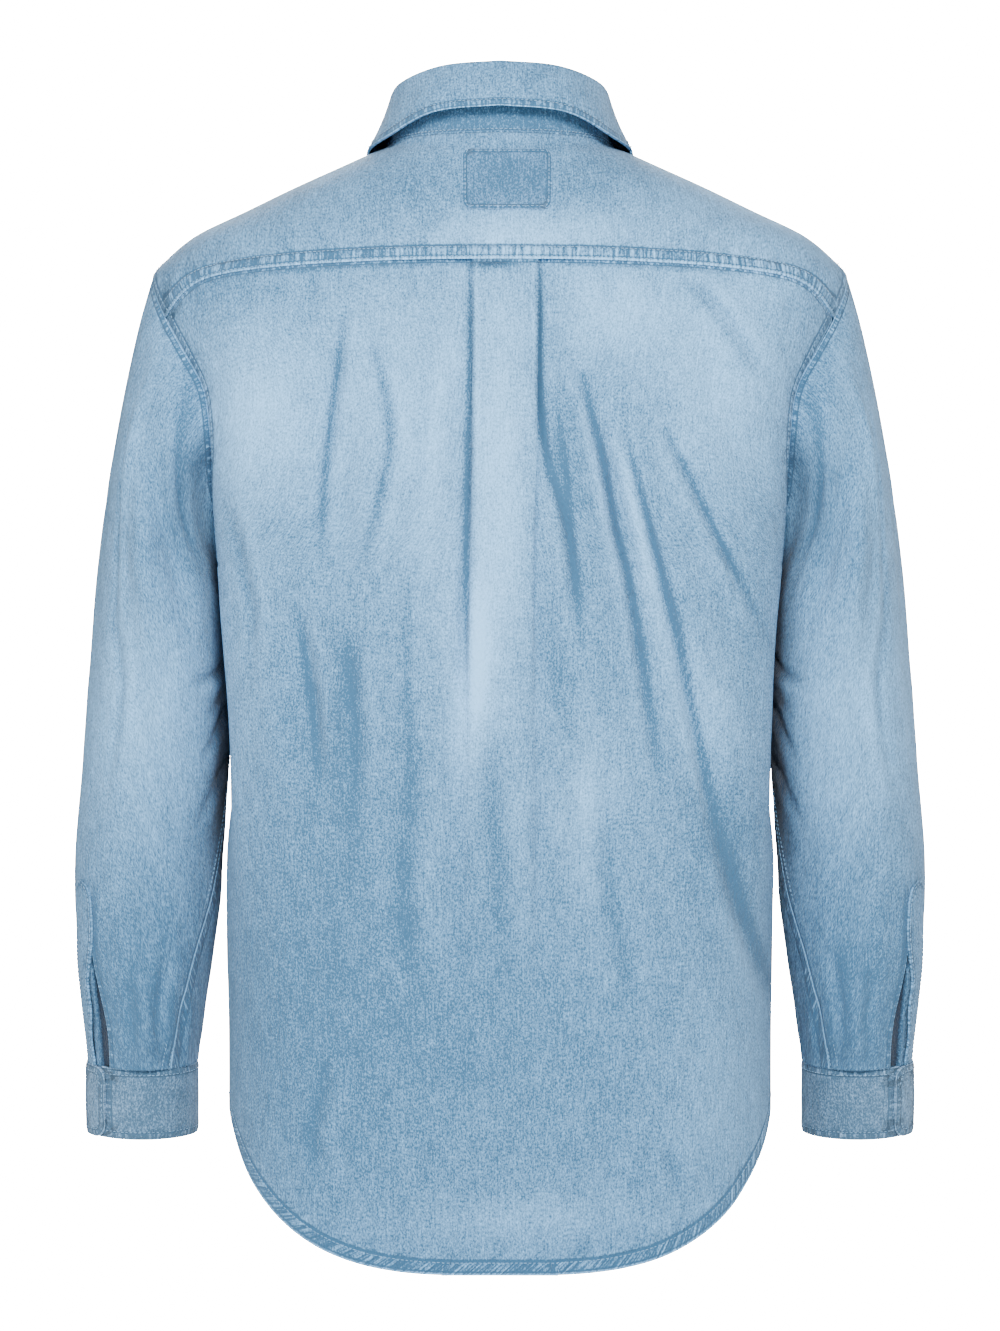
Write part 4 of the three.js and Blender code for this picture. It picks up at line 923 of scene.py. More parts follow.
def cuff_grid():
    whole = 2 * math.pi * CUFF_RADIUS
    length = np.concatenate([[0, 0.6, 1.5, 3, 5, 7.5], steps_between(10, whole + CUFF_OVERLAP, 2.4)])
    upper = np.array([0, 0.015, 0.05, 0.1, 0.18, 0.27, 0.36, 0.45])
    share = np.concatenate([upper, [0.55, 0.64, 0.73, 0.82, 0.9, 0.95, 0.985, 1]])
    return cuff_point(length[None], share[:, None])


def neck_frame(turn):
    turn = np.asarray(turn, float)
    around = np.abs(turn)
    angle, z = neck_place(np.where(around <= 180, around, 360 - around))
    y = ring(angle, z)[1]
    x = NECK_HALF_WIDTH * np.sin(np.radians(turn))
    way = np.radians(turn)
    out = np.stack([np.sin(way) / NECK_HALF_WIDTH, np.cos(way) / NECK_HALF_DEPTH, 0 * turn], -1)
    return np.stack([x, y, z], -1), out / np.linalg.norm(out, axis=-1, keepdims=True)


def stand_point(turn, share):
    base, out = neck_frame(turn)
    around = np.abs(turn)
    under_leaf = leaf["fold"](around) - LEAF_RISE - 1.2 - 1.2 * smooth(145, 162, around)
    high = mix(-0.9, under_leaf, share)
    lap = (FOLDED_CLOTH + LAY_GAP) / 2 * (smooth(140, 164, turn) - smooth(140, 164, -turn))
    move = lap - COLLAR_LEAN * high
    return base + out * move[..., None] + np.stack([0 * high, 0 * high, high], -1)


def stand_grid():
    turns = np.linspace(-192, 192, COLLAR_COLUMNS)
    shares = np.concatenate([[1, 0.97], np.linspace(0.92, 0.08, 10), [0.04, 0]])[:, None]
    return stand_point(turns + 0 * shares, shares + 0 * turns)


def clear_of_body(points, clearance):
    angle = np.arctan2(points[..., 0], points[..., 1])
    skin_x, skin_y = ring(angle, points[..., 2])
    reach = np.hypot(points[..., 0], points[..., 1])
    least = np.hypot(skin_x, skin_y) + clearance
    under = (points[..., 2] <= BODY["z"][0]) & (points[..., 1] <= 0) & (reach < least)
    scale = np.where(under, least / reach, 1)
    return points * np.stack([scale, scale, np.ones_like(scale)], -1)


def leaf_grid():
    last = LEAF["turn"][-1]
    turns = np.linspace(-last, last, COLLAR_COLUMNS)
    around = np.abs(turns)
    side = np.where(turns < 0, -1, 1)
    base, out = neck_frame(turns)
    fold = leaf["fold"](around)
    up = np.array([0, 0, 1.0])

    def risen(over, high):
        high = fold + high
        return base + out * (over - COLLAR_LEAN * high)[..., None] + high[..., None] * up

    over_fold = [(0.4, -7.5), (0.7, -4.6), (1.3, -2.2), (2.4, -0.5), (3.7, 0), (4.8, -0.7), (5.5, -2.4)]
    rows = [risen(over, high) for over, high in over_fold]
    start = rows[-1]
    tip_base, tip_out = neck_frame(side * leaf["edgeTurn"](around))
    tip = tip_base + tip_out * leaf["out"](around)[..., None] + leaf["up"](around)[..., None] * up
    wave = 0.9 * value_noise(turns / 17, 0 * turns, 77)
    for share in np.concatenate([np.linspace(0.05, 0.9, 15), [0.94, 0.97, 0.99, 1]]):
        point = mix(start, tip, share)
        bulge = mix(2.4, -1.6, smooth(30, 80, around)) * math.sin(math.pi * share)
        bulge = bulge + wave * share - 0.5 * smooth(0.96, 1, share)
        rows.append(clear_of_body(point + out * bulge[..., None], 2.6))
    return np.array(rows)


def patch_grid():
    corner, height, half = PATCH["corner"], PATCH["height"], PATCH["half"]
    rows = np.concatenate([[0, 0.5, 1.4, 3], np.linspace(corner, height - corner, 14),
                           [height - 3, height - 1.4, height - 0.5, height]])[:, None]
    across = np.concatenate([[-1, -0.985, -0.95], np.linspace(-0.9, 0.9, 22), [0.95, 0.985, 1]])
    inset = np.minimum(rows, height - rows)
    cut = np.where(inset < corner, corner - np.sqrt(np.maximum(0, corner ** 2 - (corner - inset) ** 2)), 0)
    z = PATCH["z"] - rows + 0 * across
    x = PATCH["x"] + across * (half - cut)
    rim = 0.45 * smooth(0.965, 1, np.abs(across)) + 0.45 * (1 - smooth(0, 0.8, inset))
    near_edge = smooth(0.6, 0.95, np.maximum(np.abs(across), 1 - inset / 14))
    pucker = 0.5 * value_noise(x / 5, z / 5, 9) * near_edge
    return body_point(angle_at_x(x, z, True), z, PATCH["lift"] - np.minimum(rim, 0.45) + pucker)


def outward_of(grid, wrapped):
    """Directions in which a wall gets its thickness, kept square at sharp folds."""
    down = np.empty_like(grid)
    down[1:-1] = grid[2:] - grid[:-2]
    down[0] = grid[1] - grid[0]
    down[-1] = grid[-1] - grid[-2]
    ahead = np.roll(grid, -1, 1) - grid
    behind = grid - np.roll(grid, 1, 1)
    if not wrapped:
        ahead[:, -1] = ahead[:, -2]
        behind[:, 0] = behind[:, 1]
    ahead = unit(np.cross(ahead, down))
    behind = unit(np.cross(behind, down))
    dot = (ahead * behind).sum(-1, keepdims=True)
    return (ahead + behind) / np.maximum(0.5, 1 + dot)


def unit(vectors):
    return vectors / np.maximum(np.linalg.norm(vectors, axis=-1, keepdims=True), 1e-9)


def lengths_across(grid, origin):
    parts = np.linalg.norm(np.diff(grid, axis=1), axis=-1)
    length = np.concatenate([np.zeros((len(grid), 1)), np.cumsum(parts, 1)], 1)
    return length - length[:, origin][:, None]


def lengths_down(grid):
    parts = np.linalg.norm(np.diff(grid, axis=0), axis=-1)
    return np.concatenate([np.zeros((1, grid.shape[1])), np.cumsum(parts, 0)], 0)


def to_line(points, line):
    """Distance to a bent line in space, and the length along it."""
    parts = np.diff(line, axis=0)
    sizes = np.linalg.norm(parts, axis=-1)
    starts = np.concatenate([[0], np.cumsum(sizes)])
    distance = np.empty(len(points))
    run = np.empty(len(points))
    for first in range(0, len(points), 4000):
        some = points[first:first + 4000]
        nearest = ((some[:, None] - line[None]) ** 2).sum(-1).argmin(1)
        best = np.full(len(some), np.inf)
        best_run = np.zeros(len(some))
        for k in (np.maximum(nearest - 1, 0), np.minimum(nearest, len(parts) - 1)):
            t = ((some - line[k]) * parts[k]).sum(-1) / np.maximum(sizes[k] ** 2, 1e-9)
            t = np.clip(t, 0, 1)
            away = np.linalg.norm(some - line[k] - parts[k] * t[:, None], axis=-1)
            better = away < best
            best = np.where(better, away, best)
            best_run = np.where(better, starts[k] + t * sizes[k], best_run)
        distance[first:first + 4000] = best
        run[first:first + 4000] = best_run
    return distance, run


def inset_line(line, normals, inward, distance, lift=0.05):
    """A line moved into its piece along the cloth; inward only tells the side."""
    tangent = unit(np.gradient(line, axis=0))
    across = unit(np.cross(normals, tangent))
    if (across * inward).sum() < 0:
        across = -across
    return line + across * distance + unit(normals) * lift


class Shader:
    """Builds a node material out of sums on its sockets."""

    def __init__(self, name):
        self.material = bpy.data.materials.new(name)
        self.material.use_nodes = True
        self.tree = self.material.node_tree
        self.tree.nodes.clear()

    def put(self, socket, value):
        if isinstance(value, bpy.types.NodeSocket):
            self.tree.links.new(value, socket)
        else:
            socket.default_value = value

    def node(self, kind, settings=None, **inputs):
        made = self.tree.nodes.new(kind)
        for key, value in (settings or {}).items():
            setattr(made, key, value)
        for key, value in inputs.items():
            self.put(made.inputs[key.replace("_", " ")], value)
        return made

    def math(self, operation, *values):
        made = self.tree.nodes.new("ShaderNodeMath")
        made.operation = operation
        for socket, value in zip(made.inputs, values):
            self.put(socket, value)
        return made.outputs[0]

    def add(self, *values):
        total = values[0]
        for value in values[1:]:
            total = self.math("ADD", total, value)
        return total

    def times(self, *values):
        total = values[0]
        for value in values[1:]:
            total = self.math("MULTIPLY", total, value)
        return total

    def step(self, value, start, end):
        """0 at start, 1 at end, smooth between."""
        made = self.node("ShaderNodeMapRange", {"interpolation_type": "SMOOTHSTEP"})
        self.put(made.inputs[0], value)
        made.inputs[1].default_value = start
        made.inputs[2].default_value = end
        return made.outputs[0]

    def bell(self, value, centre, width):
        away = self.math("ABSOLUTE", self.math("SUBTRACT", value, centre))
        return self.step(away, width, 0.0)

    def attribute(self, name):
        return self.node("ShaderNodeAttribute", {"attribute_name": name}).outputs["Fac"]

    def cloth_place(self):
        uv = self.node("ShaderNodeUVMap", {"uv_map": "cloth"}).outputs[0]
        parts = self.node("ShaderNodeSeparateXYZ", Vector=uv).outputs
        return parts[0], parts[1]

    def vector(self, x, y, z=0.0):
        return self.node("ShaderNodeCombineXYZ", X=x, Y=y, Z=z).outputs[0]

    def noise(self, vector, detail=1.0, roughness=0.5):
        """Noise from about -0.5 to 0.5."""
        made = self.node("ShaderNodeTexNoise", Vector=vector, Scale=1.0, Detail=detail, Roughness=roughness)
        return self.math("SUBTRACT", made.outputs[0], 0.5)

    def finish(self, colour, height, roughness=0.9, sheen=0.1, strength=1.0):
        bump = self.node("ShaderNodeBump", Strength=strength, Distance=MM, Height=height)
        surface = self.node(
            "ShaderNodeBsdfPrincipled", Base_Color=colour, Roughness=roughness, Normal=bump.outputs[0],
        )
        surface.inputs["Sheen Weight"].default_value = sheen
        surface.inputs["Sheen Roughness"].default_value = 0.6
        surface.inputs["Specular IOR Level"].default_value = 0.2
        out = self.tree.nodes.new("ShaderNodeOutputMaterial")
        self.tree.links.new(surface.outputs[0], out.inputs[0])
        return self.material


def linear(red, green, blue):
    """A colour given as it looks on a screen, 0 to 255."""
    values = [channel / 255 for channel in (red, green, blue)]
    return tuple(v / 12.92 if v <= 0.04045 else ((v + 0.055) / 1.055) ** 2.4 for v in values) + (1.0,)


def denim(name, dark, pale, tone_shift=0.0):
    """Washed twill: uneven fading, grain of both yarns, worn ridges and seams with puckers. Its tone also
    takes painted shade and painted highlight from the crease and mark tone, and it mixes towards near-black
    as painted shade where the shade attribute is set.
    """
    s = Shader(name)
    u, v = s.cloth_place()
    place = lambda across, down, offset=0.0: s.vector(s.times(u, 1 / across), s.times(v, 1 / down), offset)
    wash_and_shading = s.attribute("wash_and_shading")
    wear_and_shading = s.attribute("wear_and_shading")
    seam = s.attribute("seam")
    run = s.attribute("run")
    grain = s.noise(place(1.1, 1.9), 2.0, 0.75)
    slub = s.noise(place(1.3, 16.0, 3.0), 1.0)
    weft = s.noise(place(9.0, 1.4, 8.0), 1.0)
    cloud = s.noise(place(16.0, 30.0, 5.0), 4.0, 0.62)
    mottle = s.noise(place(2.6, 8.0, 7.0), 2.0)
    fell = s.attribute("fell")
    twist = s.noise(s.vector(s.times(run, 1 / 4.2), s.times(seam, 0.35), 2.0), 2.0, 0.6)
    ladder = s.noise(s.vector(s.times(run, 1 / 1.9), s.times(seam, 0.5), 4.0), 1.0)
    in_band = s.step(seam, 1.12, 0.92)
    near = s.step(seam, 2.3, 0.9)
    ridge = s.bell(seam, 0.07, 0.17)
    # The groove and the shadow line darken the recesses at the edge of a seam band: painted shade there,
    # together with darker unworn dye
    groove = s.bell(seam, 1.02, 0.2)
    shadow_line = s.bell(seam, 0.25, 0.12)
    pucker = s.times(near, twist)
    fell_band = s.times(s.step(fell, -0.4, 0.8), s.step(fell, 8.6, 7.4))
    fell_ridge = s.bell(fell, 0.2, 1.3)
    # The dark lines at the edges of the felled seam are painted shade in its recesses, together with darker
    # unworn dye
    fell_lines = s.add(s.bell(fell, -1.6, 1.3), s.bell(fell, 7.4, 1.0))
    rungs = s.noise(s.vector(s.times(v, 1 / 1.9), s.times(fell, 0.1), 9.0), 1.0)
    tone = s.add(
        s.times(s.add(wash_and_shading, -0.3), 1.15),
        0.3,
        tone_shift,
        wear_and_shading,
        s.times(grain, 1.9),
        s.times(slub, 0.4),
        s.times(weft, 0.15),
        s.times(cloud, 0.42),
        s.times(mottle, 0.5),
        s.times(pucker, 0.9),
        s.times(in_band, s.add(-0.2, s.times(ladder, 2.3))),
        s.times(ridge, 0.55),
        s.times(groove, -0.65),
        s.times(shadow_line, -0.5),
        s.times(fell_band, s.add(-0.2, s.times(rungs, 2.6))),
        s.times(fell_ridge, 0.75),
        s.times(fell_lines, -0.85),
    )
    dye = s.node("ShaderNodeMix", {"data_type": "RGBA"})
    s.put(dye.inputs[0], tone)
    dye.inputs[6].default_value = dark
    dye.inputs[7].default_value = pale
    # Painted shade: the colour goes towards near-black as far as the shade attribute says
    colour = s.node("ShaderNodeMix", {"data_type": "RGBA"})
    s.put(colour.inputs[0], s.attribute("shade"))
    s.put(colour.inputs[6], dye.outputs[2])
    colour.inputs[7].default_value = (0.004, 0.012, 0.03, 1)
    crumple = s.noise(place(9.0, 17.0, 11.0), 3.0, 0.55)
    crinkle = s.noise(place(2.0, 3.2, 13.0), 2.0, 0.6)
    twill = s.node("ShaderNodeTexWave", {"bands_direction": "DIAGONAL"}, Vector=s.vector(u, v), Scale=0.26)
    height = s.add(
        s.times(crumple, 1.6),
        s.times(crinkle, 1.7),
        s.times(grain, 0.3),
        s.times(twill.outputs[1], 0.03),
        s.times(in_band, 0.45),
        s.times(pucker, 1.5),
        s.times(in_band, ladder, 0.9),
        s.times(groove, -0.4),
        s.times(fell_band, s.add(0.45, s.times(rungs, 1.2))),
        s.times(fell_lines, -0.3),
    )
    return s.finish(colour.outputs[2], height)


def plain(name, colour, roughness, sheen=0.0, grain=0.2):
    s = Shader(name)
    place = s.node("ShaderNodeTexCoord").outputs["Object"]
    scaled = s.node("ShaderNodeVectorMath", {"operation": "SCALE"}, Vector=place, Scale=900.0).outputs[0]
    noise = s.noise(scaled, 2.0)
    tint = s.node("ShaderNodeMix", {"data_type": "RGBA"})
    s.put(tint.inputs[0], s.add(s.times(noise, grain), 0.5))
    tint.inputs[6].default_value = tuple(0.85 * c for c in colour[:3]) + (1.0,)
    tint.inputs[7].default_value = tuple(min(1.0, 1.15 * c) for c in colour[:3]) + (1.0,)
    return s.finish(tint.outputs[2], noise, roughness, sheen, 0.1)


DENIM = denim("denim", (0.03, 0.105, 0.2, 1), (0.25, 0.56, 0.93, 1))
CUFF_DENIM = denim("dark_denim", (0.04, 0.1, 0.17, 1), (0.27, 0.48, 0.74, 1), -0.04)
PATCH_DENIM = denim("patch_denim", (0.03, 0.105, 0.2, 1), (0.24, 0.5, 0.86, 1), -0.04)
THREAD = plain("thread", (0.17, 0.37, 0.6, 1), 0.8, 0.3)
PEARL = plain("pearl_button", linear(222, 226, 224), 0.3, 0.0, 0.3)
# Dark grey for the discs that stand for the button's holes: painted shade where no hole is cut
HOLE_SHADE = plain("button_hole_shade", linear(60, 66, 72), 0.7)


def mesh_object(name, points, faces, material):
    mesh = bpy.data.meshes.new(name)
    mesh.from_pydata((points * MM).tolist(), [], faces)
    mesh.materials.append(material)
    mesh.shade_smooth()
    made = bpy.data.objects.new(name, mesh)
    bpy.context.scene.collection.objects.link(made)
    return made


def wall(
    name, grid, material, thick=CLOTH, outside=0.0, wrapped=False, origin=0,
    seams=(), wash_and_shading=(), lines=None, shade=None, fell=None,
):
    """Closed cloth wall on a grid, with its cloth coordinates and what the denim shader reads."""
    rows, count = grid.shape[:2]
    ways = outward_of(grid, wrapped)
    points = np.concatenate([
        (grid + ways * thick * outside).reshape(-1, 3),
        (grid + ways * thick * (outside - 1)).reshape(-1, 3),
    ])
    cells = count if wrapped else count - 1
    j, i = (index.reshape(-1) for index in np.indices((rows - 1, cells)))
    inner = rows * count
    next_i = (i + 1) % count
    a, b, c, d = j * count + i, j * count + next_i, (j + 1) * count + next_i, (j + 1) * count + i
    across = lengths_across(np.concatenate([grid, grid[:, :1]], 1) if wrapped else grid, origin)
    down = lengths_down(np.concatenate([grid, grid[:, :1]], 1) if wrapped else grid)
    uv = np.stack([across, down], -1)
    corner = lambda row, column: uv[row, column]
    quads = [np.stack([a, b, c, d], 1), np.stack([a, d, c, b], 1) + inner]
    corners = [
        np.stack([corner(j, i), corner(j, i + 1), corner(j + 1, i + 1), corner(j + 1, i)], 1),
        np.stack([corner(j, i), corner(j + 1, i), corner(j + 1, i + 1), corner(j, i + 1)], 1),
    ]

    def rim(mask, first, second, first_uv, second_uv):
        quads.append(np.stack([second, first, first + inner, second + inner], 1)[mask])
        corners.append(np.stack([second_uv, first_uv, first_uv, second_uv], 1)[mask])

    rim(j == 0, a, b, corner(j, i), corner(j, i + 1))
    rim(j == rows - 2, c, d, corner(j + 1, i + 1), corner(j + 1, i))
    if not wrapped:
        rim(i == cells - 1, b, c, corner(j, i + 1), corner(j + 1, i + 1))
        rim(i == 0, d, a, corner(j + 1, i), corner(j, i))
    faces = np.concatenate(quads)
    face_uv = np.concatenate(corners)
    made = mesh_object(name, points, faces.tolist(), material)
    mesh = made.data
    layer = mesh.uv_layers.new(name="cloth")
    layer.data.foreach_set("uv", face_uv.reshape(-1).astype(np.float32))
    mesh.set_sharp_from_angle(angle=math.radians(55))

    flat = grid.reshape(-1, 3)
    seam = np.full(len(flat), 9.0)
    run = np.zeros(len(flat))
    for line, band, skew in seams:
        distance, length = to_line(flat, line)
        closer = distance / band < seam
        seam = np.where(closer, distance / band, seam)
        run = np.where(closer, length + skew * distance, run)
    lines = np.zeros(len(flat)) if lines is None else lines.reshape(-1)
    shade = np.zeros(len(flat)) if shade is None else shade.reshape(-1)
    fell = np.full(len(flat), 99.0) if fell is None else fell.reshape(-1)
    washed = wash_of(wash_and_shading, grid).reshape(-1)
    # The crease and mark tone holds darker dye and worn paleness together with painted shade and painted
    # highlight
    values = {"seam": seam, "run": run, "wear_and_shading": np.clip(lines, -1, 1), "wash_and_shading": washed, "shade": shade,
              "fell": fell}
    for key, value in values.items():
        attribute = mesh.attributes.new(key, "FLOAT", "POINT")
        attribute.data.foreach_set("value", np.tile(value, 2).astype(np.float32))
    made["cloth_area"] = float(grid_area(grid, wrapped))
    made["cloth_size"] = [float(np.ptp(across, axis=1).max()), float(down[-1].max())]
    return made


def grid_area(grid, wrapped):
    whole = np.concatenate([grid, grid[:, :1]], 1) if wrapped else grid
    first = np.cross(whole[:-1, 1:] - whole[:-1, :-1], whole[1:, 1:] - whole[:-1, :-1])
    second = np.cross(whole[1:, 1:] - whole[:-1, :-1], whole[1:, :-1] - whole[:-1, :-1])
    areas = (np.linalg.norm(first, axis=-1) + np.linalg.norm(second, axis=-1)) / 2
    return areas.sum() * MM * MM


def wash_of(places, grid):
    x, z = grid[..., 0], grid[..., 2]
    total = np.full(x.shape, BASE_WASH)
    for across, height, half_across, half_height, lean, amount in places:
        dx = (x - across - lean * (z - height)) / half_across
        dz = (z - height) / half_height
        total = total + amount * np.exp(-(dx ** 2 + dz ** 2))
    return total


def stitch_nodes():
    """Node group that sets stitches along lines."""
    tree = bpy.data.node_groups.new("stitches", "GeometryNodeTree")
    face = tree.interface
    face.new_socket("Geometry", in_out="OUTPUT", socket_type="NodeSocketGeometry")
    face.new_socket("Geometry", in_out="INPUT", socket_type="NodeSocketGeometry")
    for name in ("Pitch", "Length", "Thickness"):
        face.new_socket(name, in_out="INPUT", socket_type="NodeSocketFloat")
    face.new_socket("Seed", in_out="INPUT", socket_type="NodeSocketInt")
    face.new_socket("Thread", in_out="INPUT", socket_type="NodeSocketMaterial")
    new = tree.nodes.new
    link = tree.links.new
    start = new("NodeGroupInput")
    end = new("NodeGroupOutput")
    curve = new("GeometryNodeMeshToCurve")
    points = new("GeometryNodeCurveToPoints")
    points.mode = "LENGTH"
    ball = new("GeometryNodeMeshUVSphere")
    ball.inputs["Segments"].default_value = 5
    ball.inputs["Rings"].default_value = 4
    ball.inputs["Radius"].default_value = 1.0
    size = new("ShaderNodeCombineXYZ")
    shape = new("GeometryNodeTransform")
    place = new("GeometryNodeInstanceOnPoints")
    vary = new("FunctionNodeRandomValue")
    vary.data_type = "FLOAT"
    vary.inputs[2].default_value = 0.8
    vary.inputs[3].default_value = 1.15
    realize = new("GeometryNodeRealizeInstances")
    paint = new("GeometryNodeSetMaterial")
    link(start.outputs["Geometry"], curve.inputs[0])
    link(curve.outputs[0], points.inputs["Curve"])
    link(start.outputs["Pitch"], points.inputs["Length"])
    link(start.outputs["Thickness"], size.inputs[0])
    link(start.outputs["Thickness"], size.inputs[1])
    link(start.outputs["Length"], size.inputs[2])
    link(ball.outputs["Mesh"], shape.inputs["Geometry"])
    link(size.outputs[0], shape.inputs["Scale"])
    link(points.outputs["Points"], place.inputs["Points"])
    link(points.outputs["Rotation"], place.inputs["Rotation"])
    link(shape.outputs["Geometry"], place.inputs["Instance"])
    link(start.outputs["Seed"], vary.inputs["Seed"])
    link(vary.outputs[1], place.inputs["Scale"])
    link(place.outputs["Instances"], realize.inputs["Geometry"])
    link(realize.outputs["Geometry"], paint.inputs["Geometry"])
    link(start.outputs["Thread"], paint.inputs["Material"])
    link(paint.outputs["Geometry"], end.inputs[0])
    return tree


STITCHES = stitch_nodes()


def stitch_rows(name, rows, pitch=3.1, length=1.1, thickness=0.26, seed=1):
    """One mesh of all the stitches along some lines."""
    points = np.concatenate(rows) * MM
    edges = []
    first = 0
    for row in rows:
        edges.extend((first + k, first + k + 1) for k in range(len(row) - 1))
        first += len(row)
    mesh = bpy.data.meshes.new(name)
    mesh.from_pydata(points.tolist(), edges, [])
    made = bpy.data.objects.new(name, mesh)
    bpy.context.scene.collection.objects.link(made)
    modifier = made.modifiers.new("stitches", "NODES")
    modifier.node_group = STITCHES
    names = {item.name: item.identifier for item in STITCHES.interface.items_tree if item.in_out == "INPUT"}
    modifier[names["Pitch"]] = pitch * MM
    modifier[names["Length"]] = length * MM
    modifier[names["Thickness"]] = thickness * MM
    modifier[names["Seed"]] = seed
    modifier[names["Thread"]] = THREAD
    made.update_tag()
    bpy.context.view_layer.update()
    evaluated = made.evaluated_get(bpy.context.evaluated_depsgraph_get())
    sewn = bpy.data.meshes.new_from_object(evaluated)
    made.modifiers.clear()
    made.data = sewn
    if not sewn.materials:
        sewn.materials.append(THREAD)
    sewn.shade_smooth()
    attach(made, "root")
    return made


def edges_of(grid, wrapped=False):
    """Borders of a grid: line, outward directions and way in."""
    ways = outward_of(grid, wrapped)
    return {
        "top": (grid[0], ways[0], grid[1] - grid[0]),
        "bottom": (grid[-1], ways[-1], grid[-2] - grid[-1]),
        "first": (grid[:, 0], ways[:, 0], grid[:, 1] - grid[:, 0]),
        "last": (grid[:, -1], ways[:, -1], grid[:, -2] - grid[:, -1]),
    }


def part_of(edge, start, end):
    return tuple(values[start:end] for values in edge)


def sew(name, plan, seed):
    """Stitch rows from a plan of border, distances in and lift."""
    rows = [inset_line(*edge, distance, lift) for edge, distances, lift in plan for distance in distances]
    return stitch_rows(name, rows, seed=seed)


def declare(made, node):
    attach(made, "root")
    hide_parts(node)


def mirror(grid):
    """The same grid for the other side of the body."""
    return (grid * np.array([-1, 1, 1]))[:, ::-1]


yoke = yoke_grid()
yoke_edges = edges_of(yoke)
yoke_back_edge = part_of(yoke_edges["bottom"], OVER_COLUMNS - 1, yoke.shape[1] - OVER_COLUMNS + 1)
yoke_arm_right = part_of(yoke_edges["bottom"], 0, OVER_COLUMNS)
yoke_arm_left = part_of(yoke_edges["bottom"], -OVER_COLUMNS, None)
yoke_mesh = wall(
    "yoke_cloth", yoke, DENIM, origin=yoke.shape[1] // 2, wash_and_shading=BACK_WASH_AND_SHADE,
    seams=[(yoke_back_edge[0], HEM_BAND, 0), (yoke_arm_left[0], FELL_BAND, 0),
           (yoke_arm_right[0], FELL_BAND, 0), (yoke_edges["top"][0], 1.3, 0),
           (yoke_edges["first"][0], 6, 0), (yoke_edges["last"][0], 6, 0)],
    lines=crease_lines(yoke, True),
)
yoke_stitches = sew("yoke_stitches", [
    (yoke_back_edge, (2, 8.6), 0.1),
    (yoke_arm_left, (FELL_STITCH,), THREAD_LIFT),
    (yoke_arm_right, (FELL_STITCH,), THREAD_LIFT),
    (yoke_edges["first"], (2,), THREAD_LIFT),
    (yoke_edges["last"], (2,), THREAD_LIFT),
], 3)
declare(yoke_mesh, "yoke")

back = back_grid()
back_edges = edges_of(back)
back_mesh = wall(
    "back_cloth", back, DENIM, outside=0.5, origin=back.shape[1] // 2, wash_and_shading=BACK_WASH_AND_SHADE,
    seams=[(back_edges["bottom"][0], HEM_BAND, 1.1), (back_edges["first"][0], FELL_BAND, 0),
           (back_edges["last"][0], FELL_BAND, 0), (back_edges["top"][0], 3, 0)],
    lines=crease_lines(back, True), shade=shades_of(BACK_SHADES, back[..., 0], back[..., 2]),
)
back_stitches = sew("back_stitches", [
    (back_edges["bottom"], (HEM_STITCH,), BACK_THREAD_LIFT),
    (part_of(back_edges["first"], 0, ARMHOLE_ROWS), (FELL_STITCH,), BACK_THREAD_LIFT),
    (part_of(back_edges["last"], 0, ARMHOLE_ROWS), (FELL_STITCH,), BACK_THREAD_LIFT),
], 4)
declare(back_mesh, "back")

for side, name, end_x, recess, outer_edge in (
    (1, "front_left", PLACKET_HALF_WIDTH + 0.4, 0, "first"),
    (-1, "front_right", -PLACKET_HALF_WIDTH, FOLDED_CLOTH - PLACKET_PROUD + 2 * LAY_GAP, "last"),
):
    front = front_grid(end_x, recess, side)
    front_edges = edges_of(front)
    front_mesh = wall(
        f"{name}_cloth", front, DENIM, wash_and_shading=FRONT_WASH,
        seams=[(front_edges["bottom"][0], HEM_BAND, 1.1), (front_edges[outer_edge][0], FELL_BAND, 0),
               (front_edges["top"][0], 6, 0)],
        lines=crease_lines(front, False),
    )
    front_stitches = sew(f"{name}_stitches", [
        (front_edges["bottom"], (HEM_STITCH,), THREAD_LIFT),
        (part_of(front_edges[outer_edge], 0, ARMHOLE_ROWS), (FELL_STITCH,), THREAD_LIFT),
    ], 5)
    declare(front_mesh, name)

band = band_grid()
band_edges = edges_of(band)
band_mesh = wall(
    "placket_cloth", band, DENIM, thick=FOLDED_CLOTH, wash_and_shading=FRONT_WASH,
    seams=[(band_edges["first"][0], EDGE_BAND, 0), (band_edges["last"][0], EDGE_BAND, 0),
           (band_edges["bottom"][0], HEM_BAND, 0)],
)
band_stitches = sew("placket_stitches", [
    (band_edges["first"], (4.6,), THREAD_LIFT),
    (band_edges["last"], (4.6,), THREAD_LIFT),
], 6)
declare(band_mesh, "front_placket")


def fell_turn_at(z):
    """Turn of the sleeve's felled seam, which wanders forward on its way down."""
    return mix(267, 329, smooth(-400, -660, z)) - 360


sleeve_cloth, slit_shade = sleeve_grid()
_, turns, _, _ = sleeve_turns(0)
back_line = int(np.abs(turns).argmin())
fell_z = steps_between(-345, SLEEVE_END_Z)
fell_turn = fell_turn_at(fell_z)
fell_line = sleeve_point(fell_turn, fell_z, 0)
fell_normals = unit(sleeve_point(fell_turn, fell_z, 1) - fell_line)
fell_side = sleeve_point(fell_turn + 3, fell_z, 0) - fell_line
cap_turns = np.broadcast_to(turns, sleeve_cloth.shape[:2])
sleeve_round = np.radians(np.where(cap_turns > 270, cap_turns - 360, cap_turns)) * CAP_RADIUS
sleeve_lay = np.stack([sleeve_round, sleeve_round, sleeve_cloth[..., 2]], -1)
sleeve_shade = shades_of(SLEEVE_SHADES, sleeve_round, sleeve_cloth[..., 2])
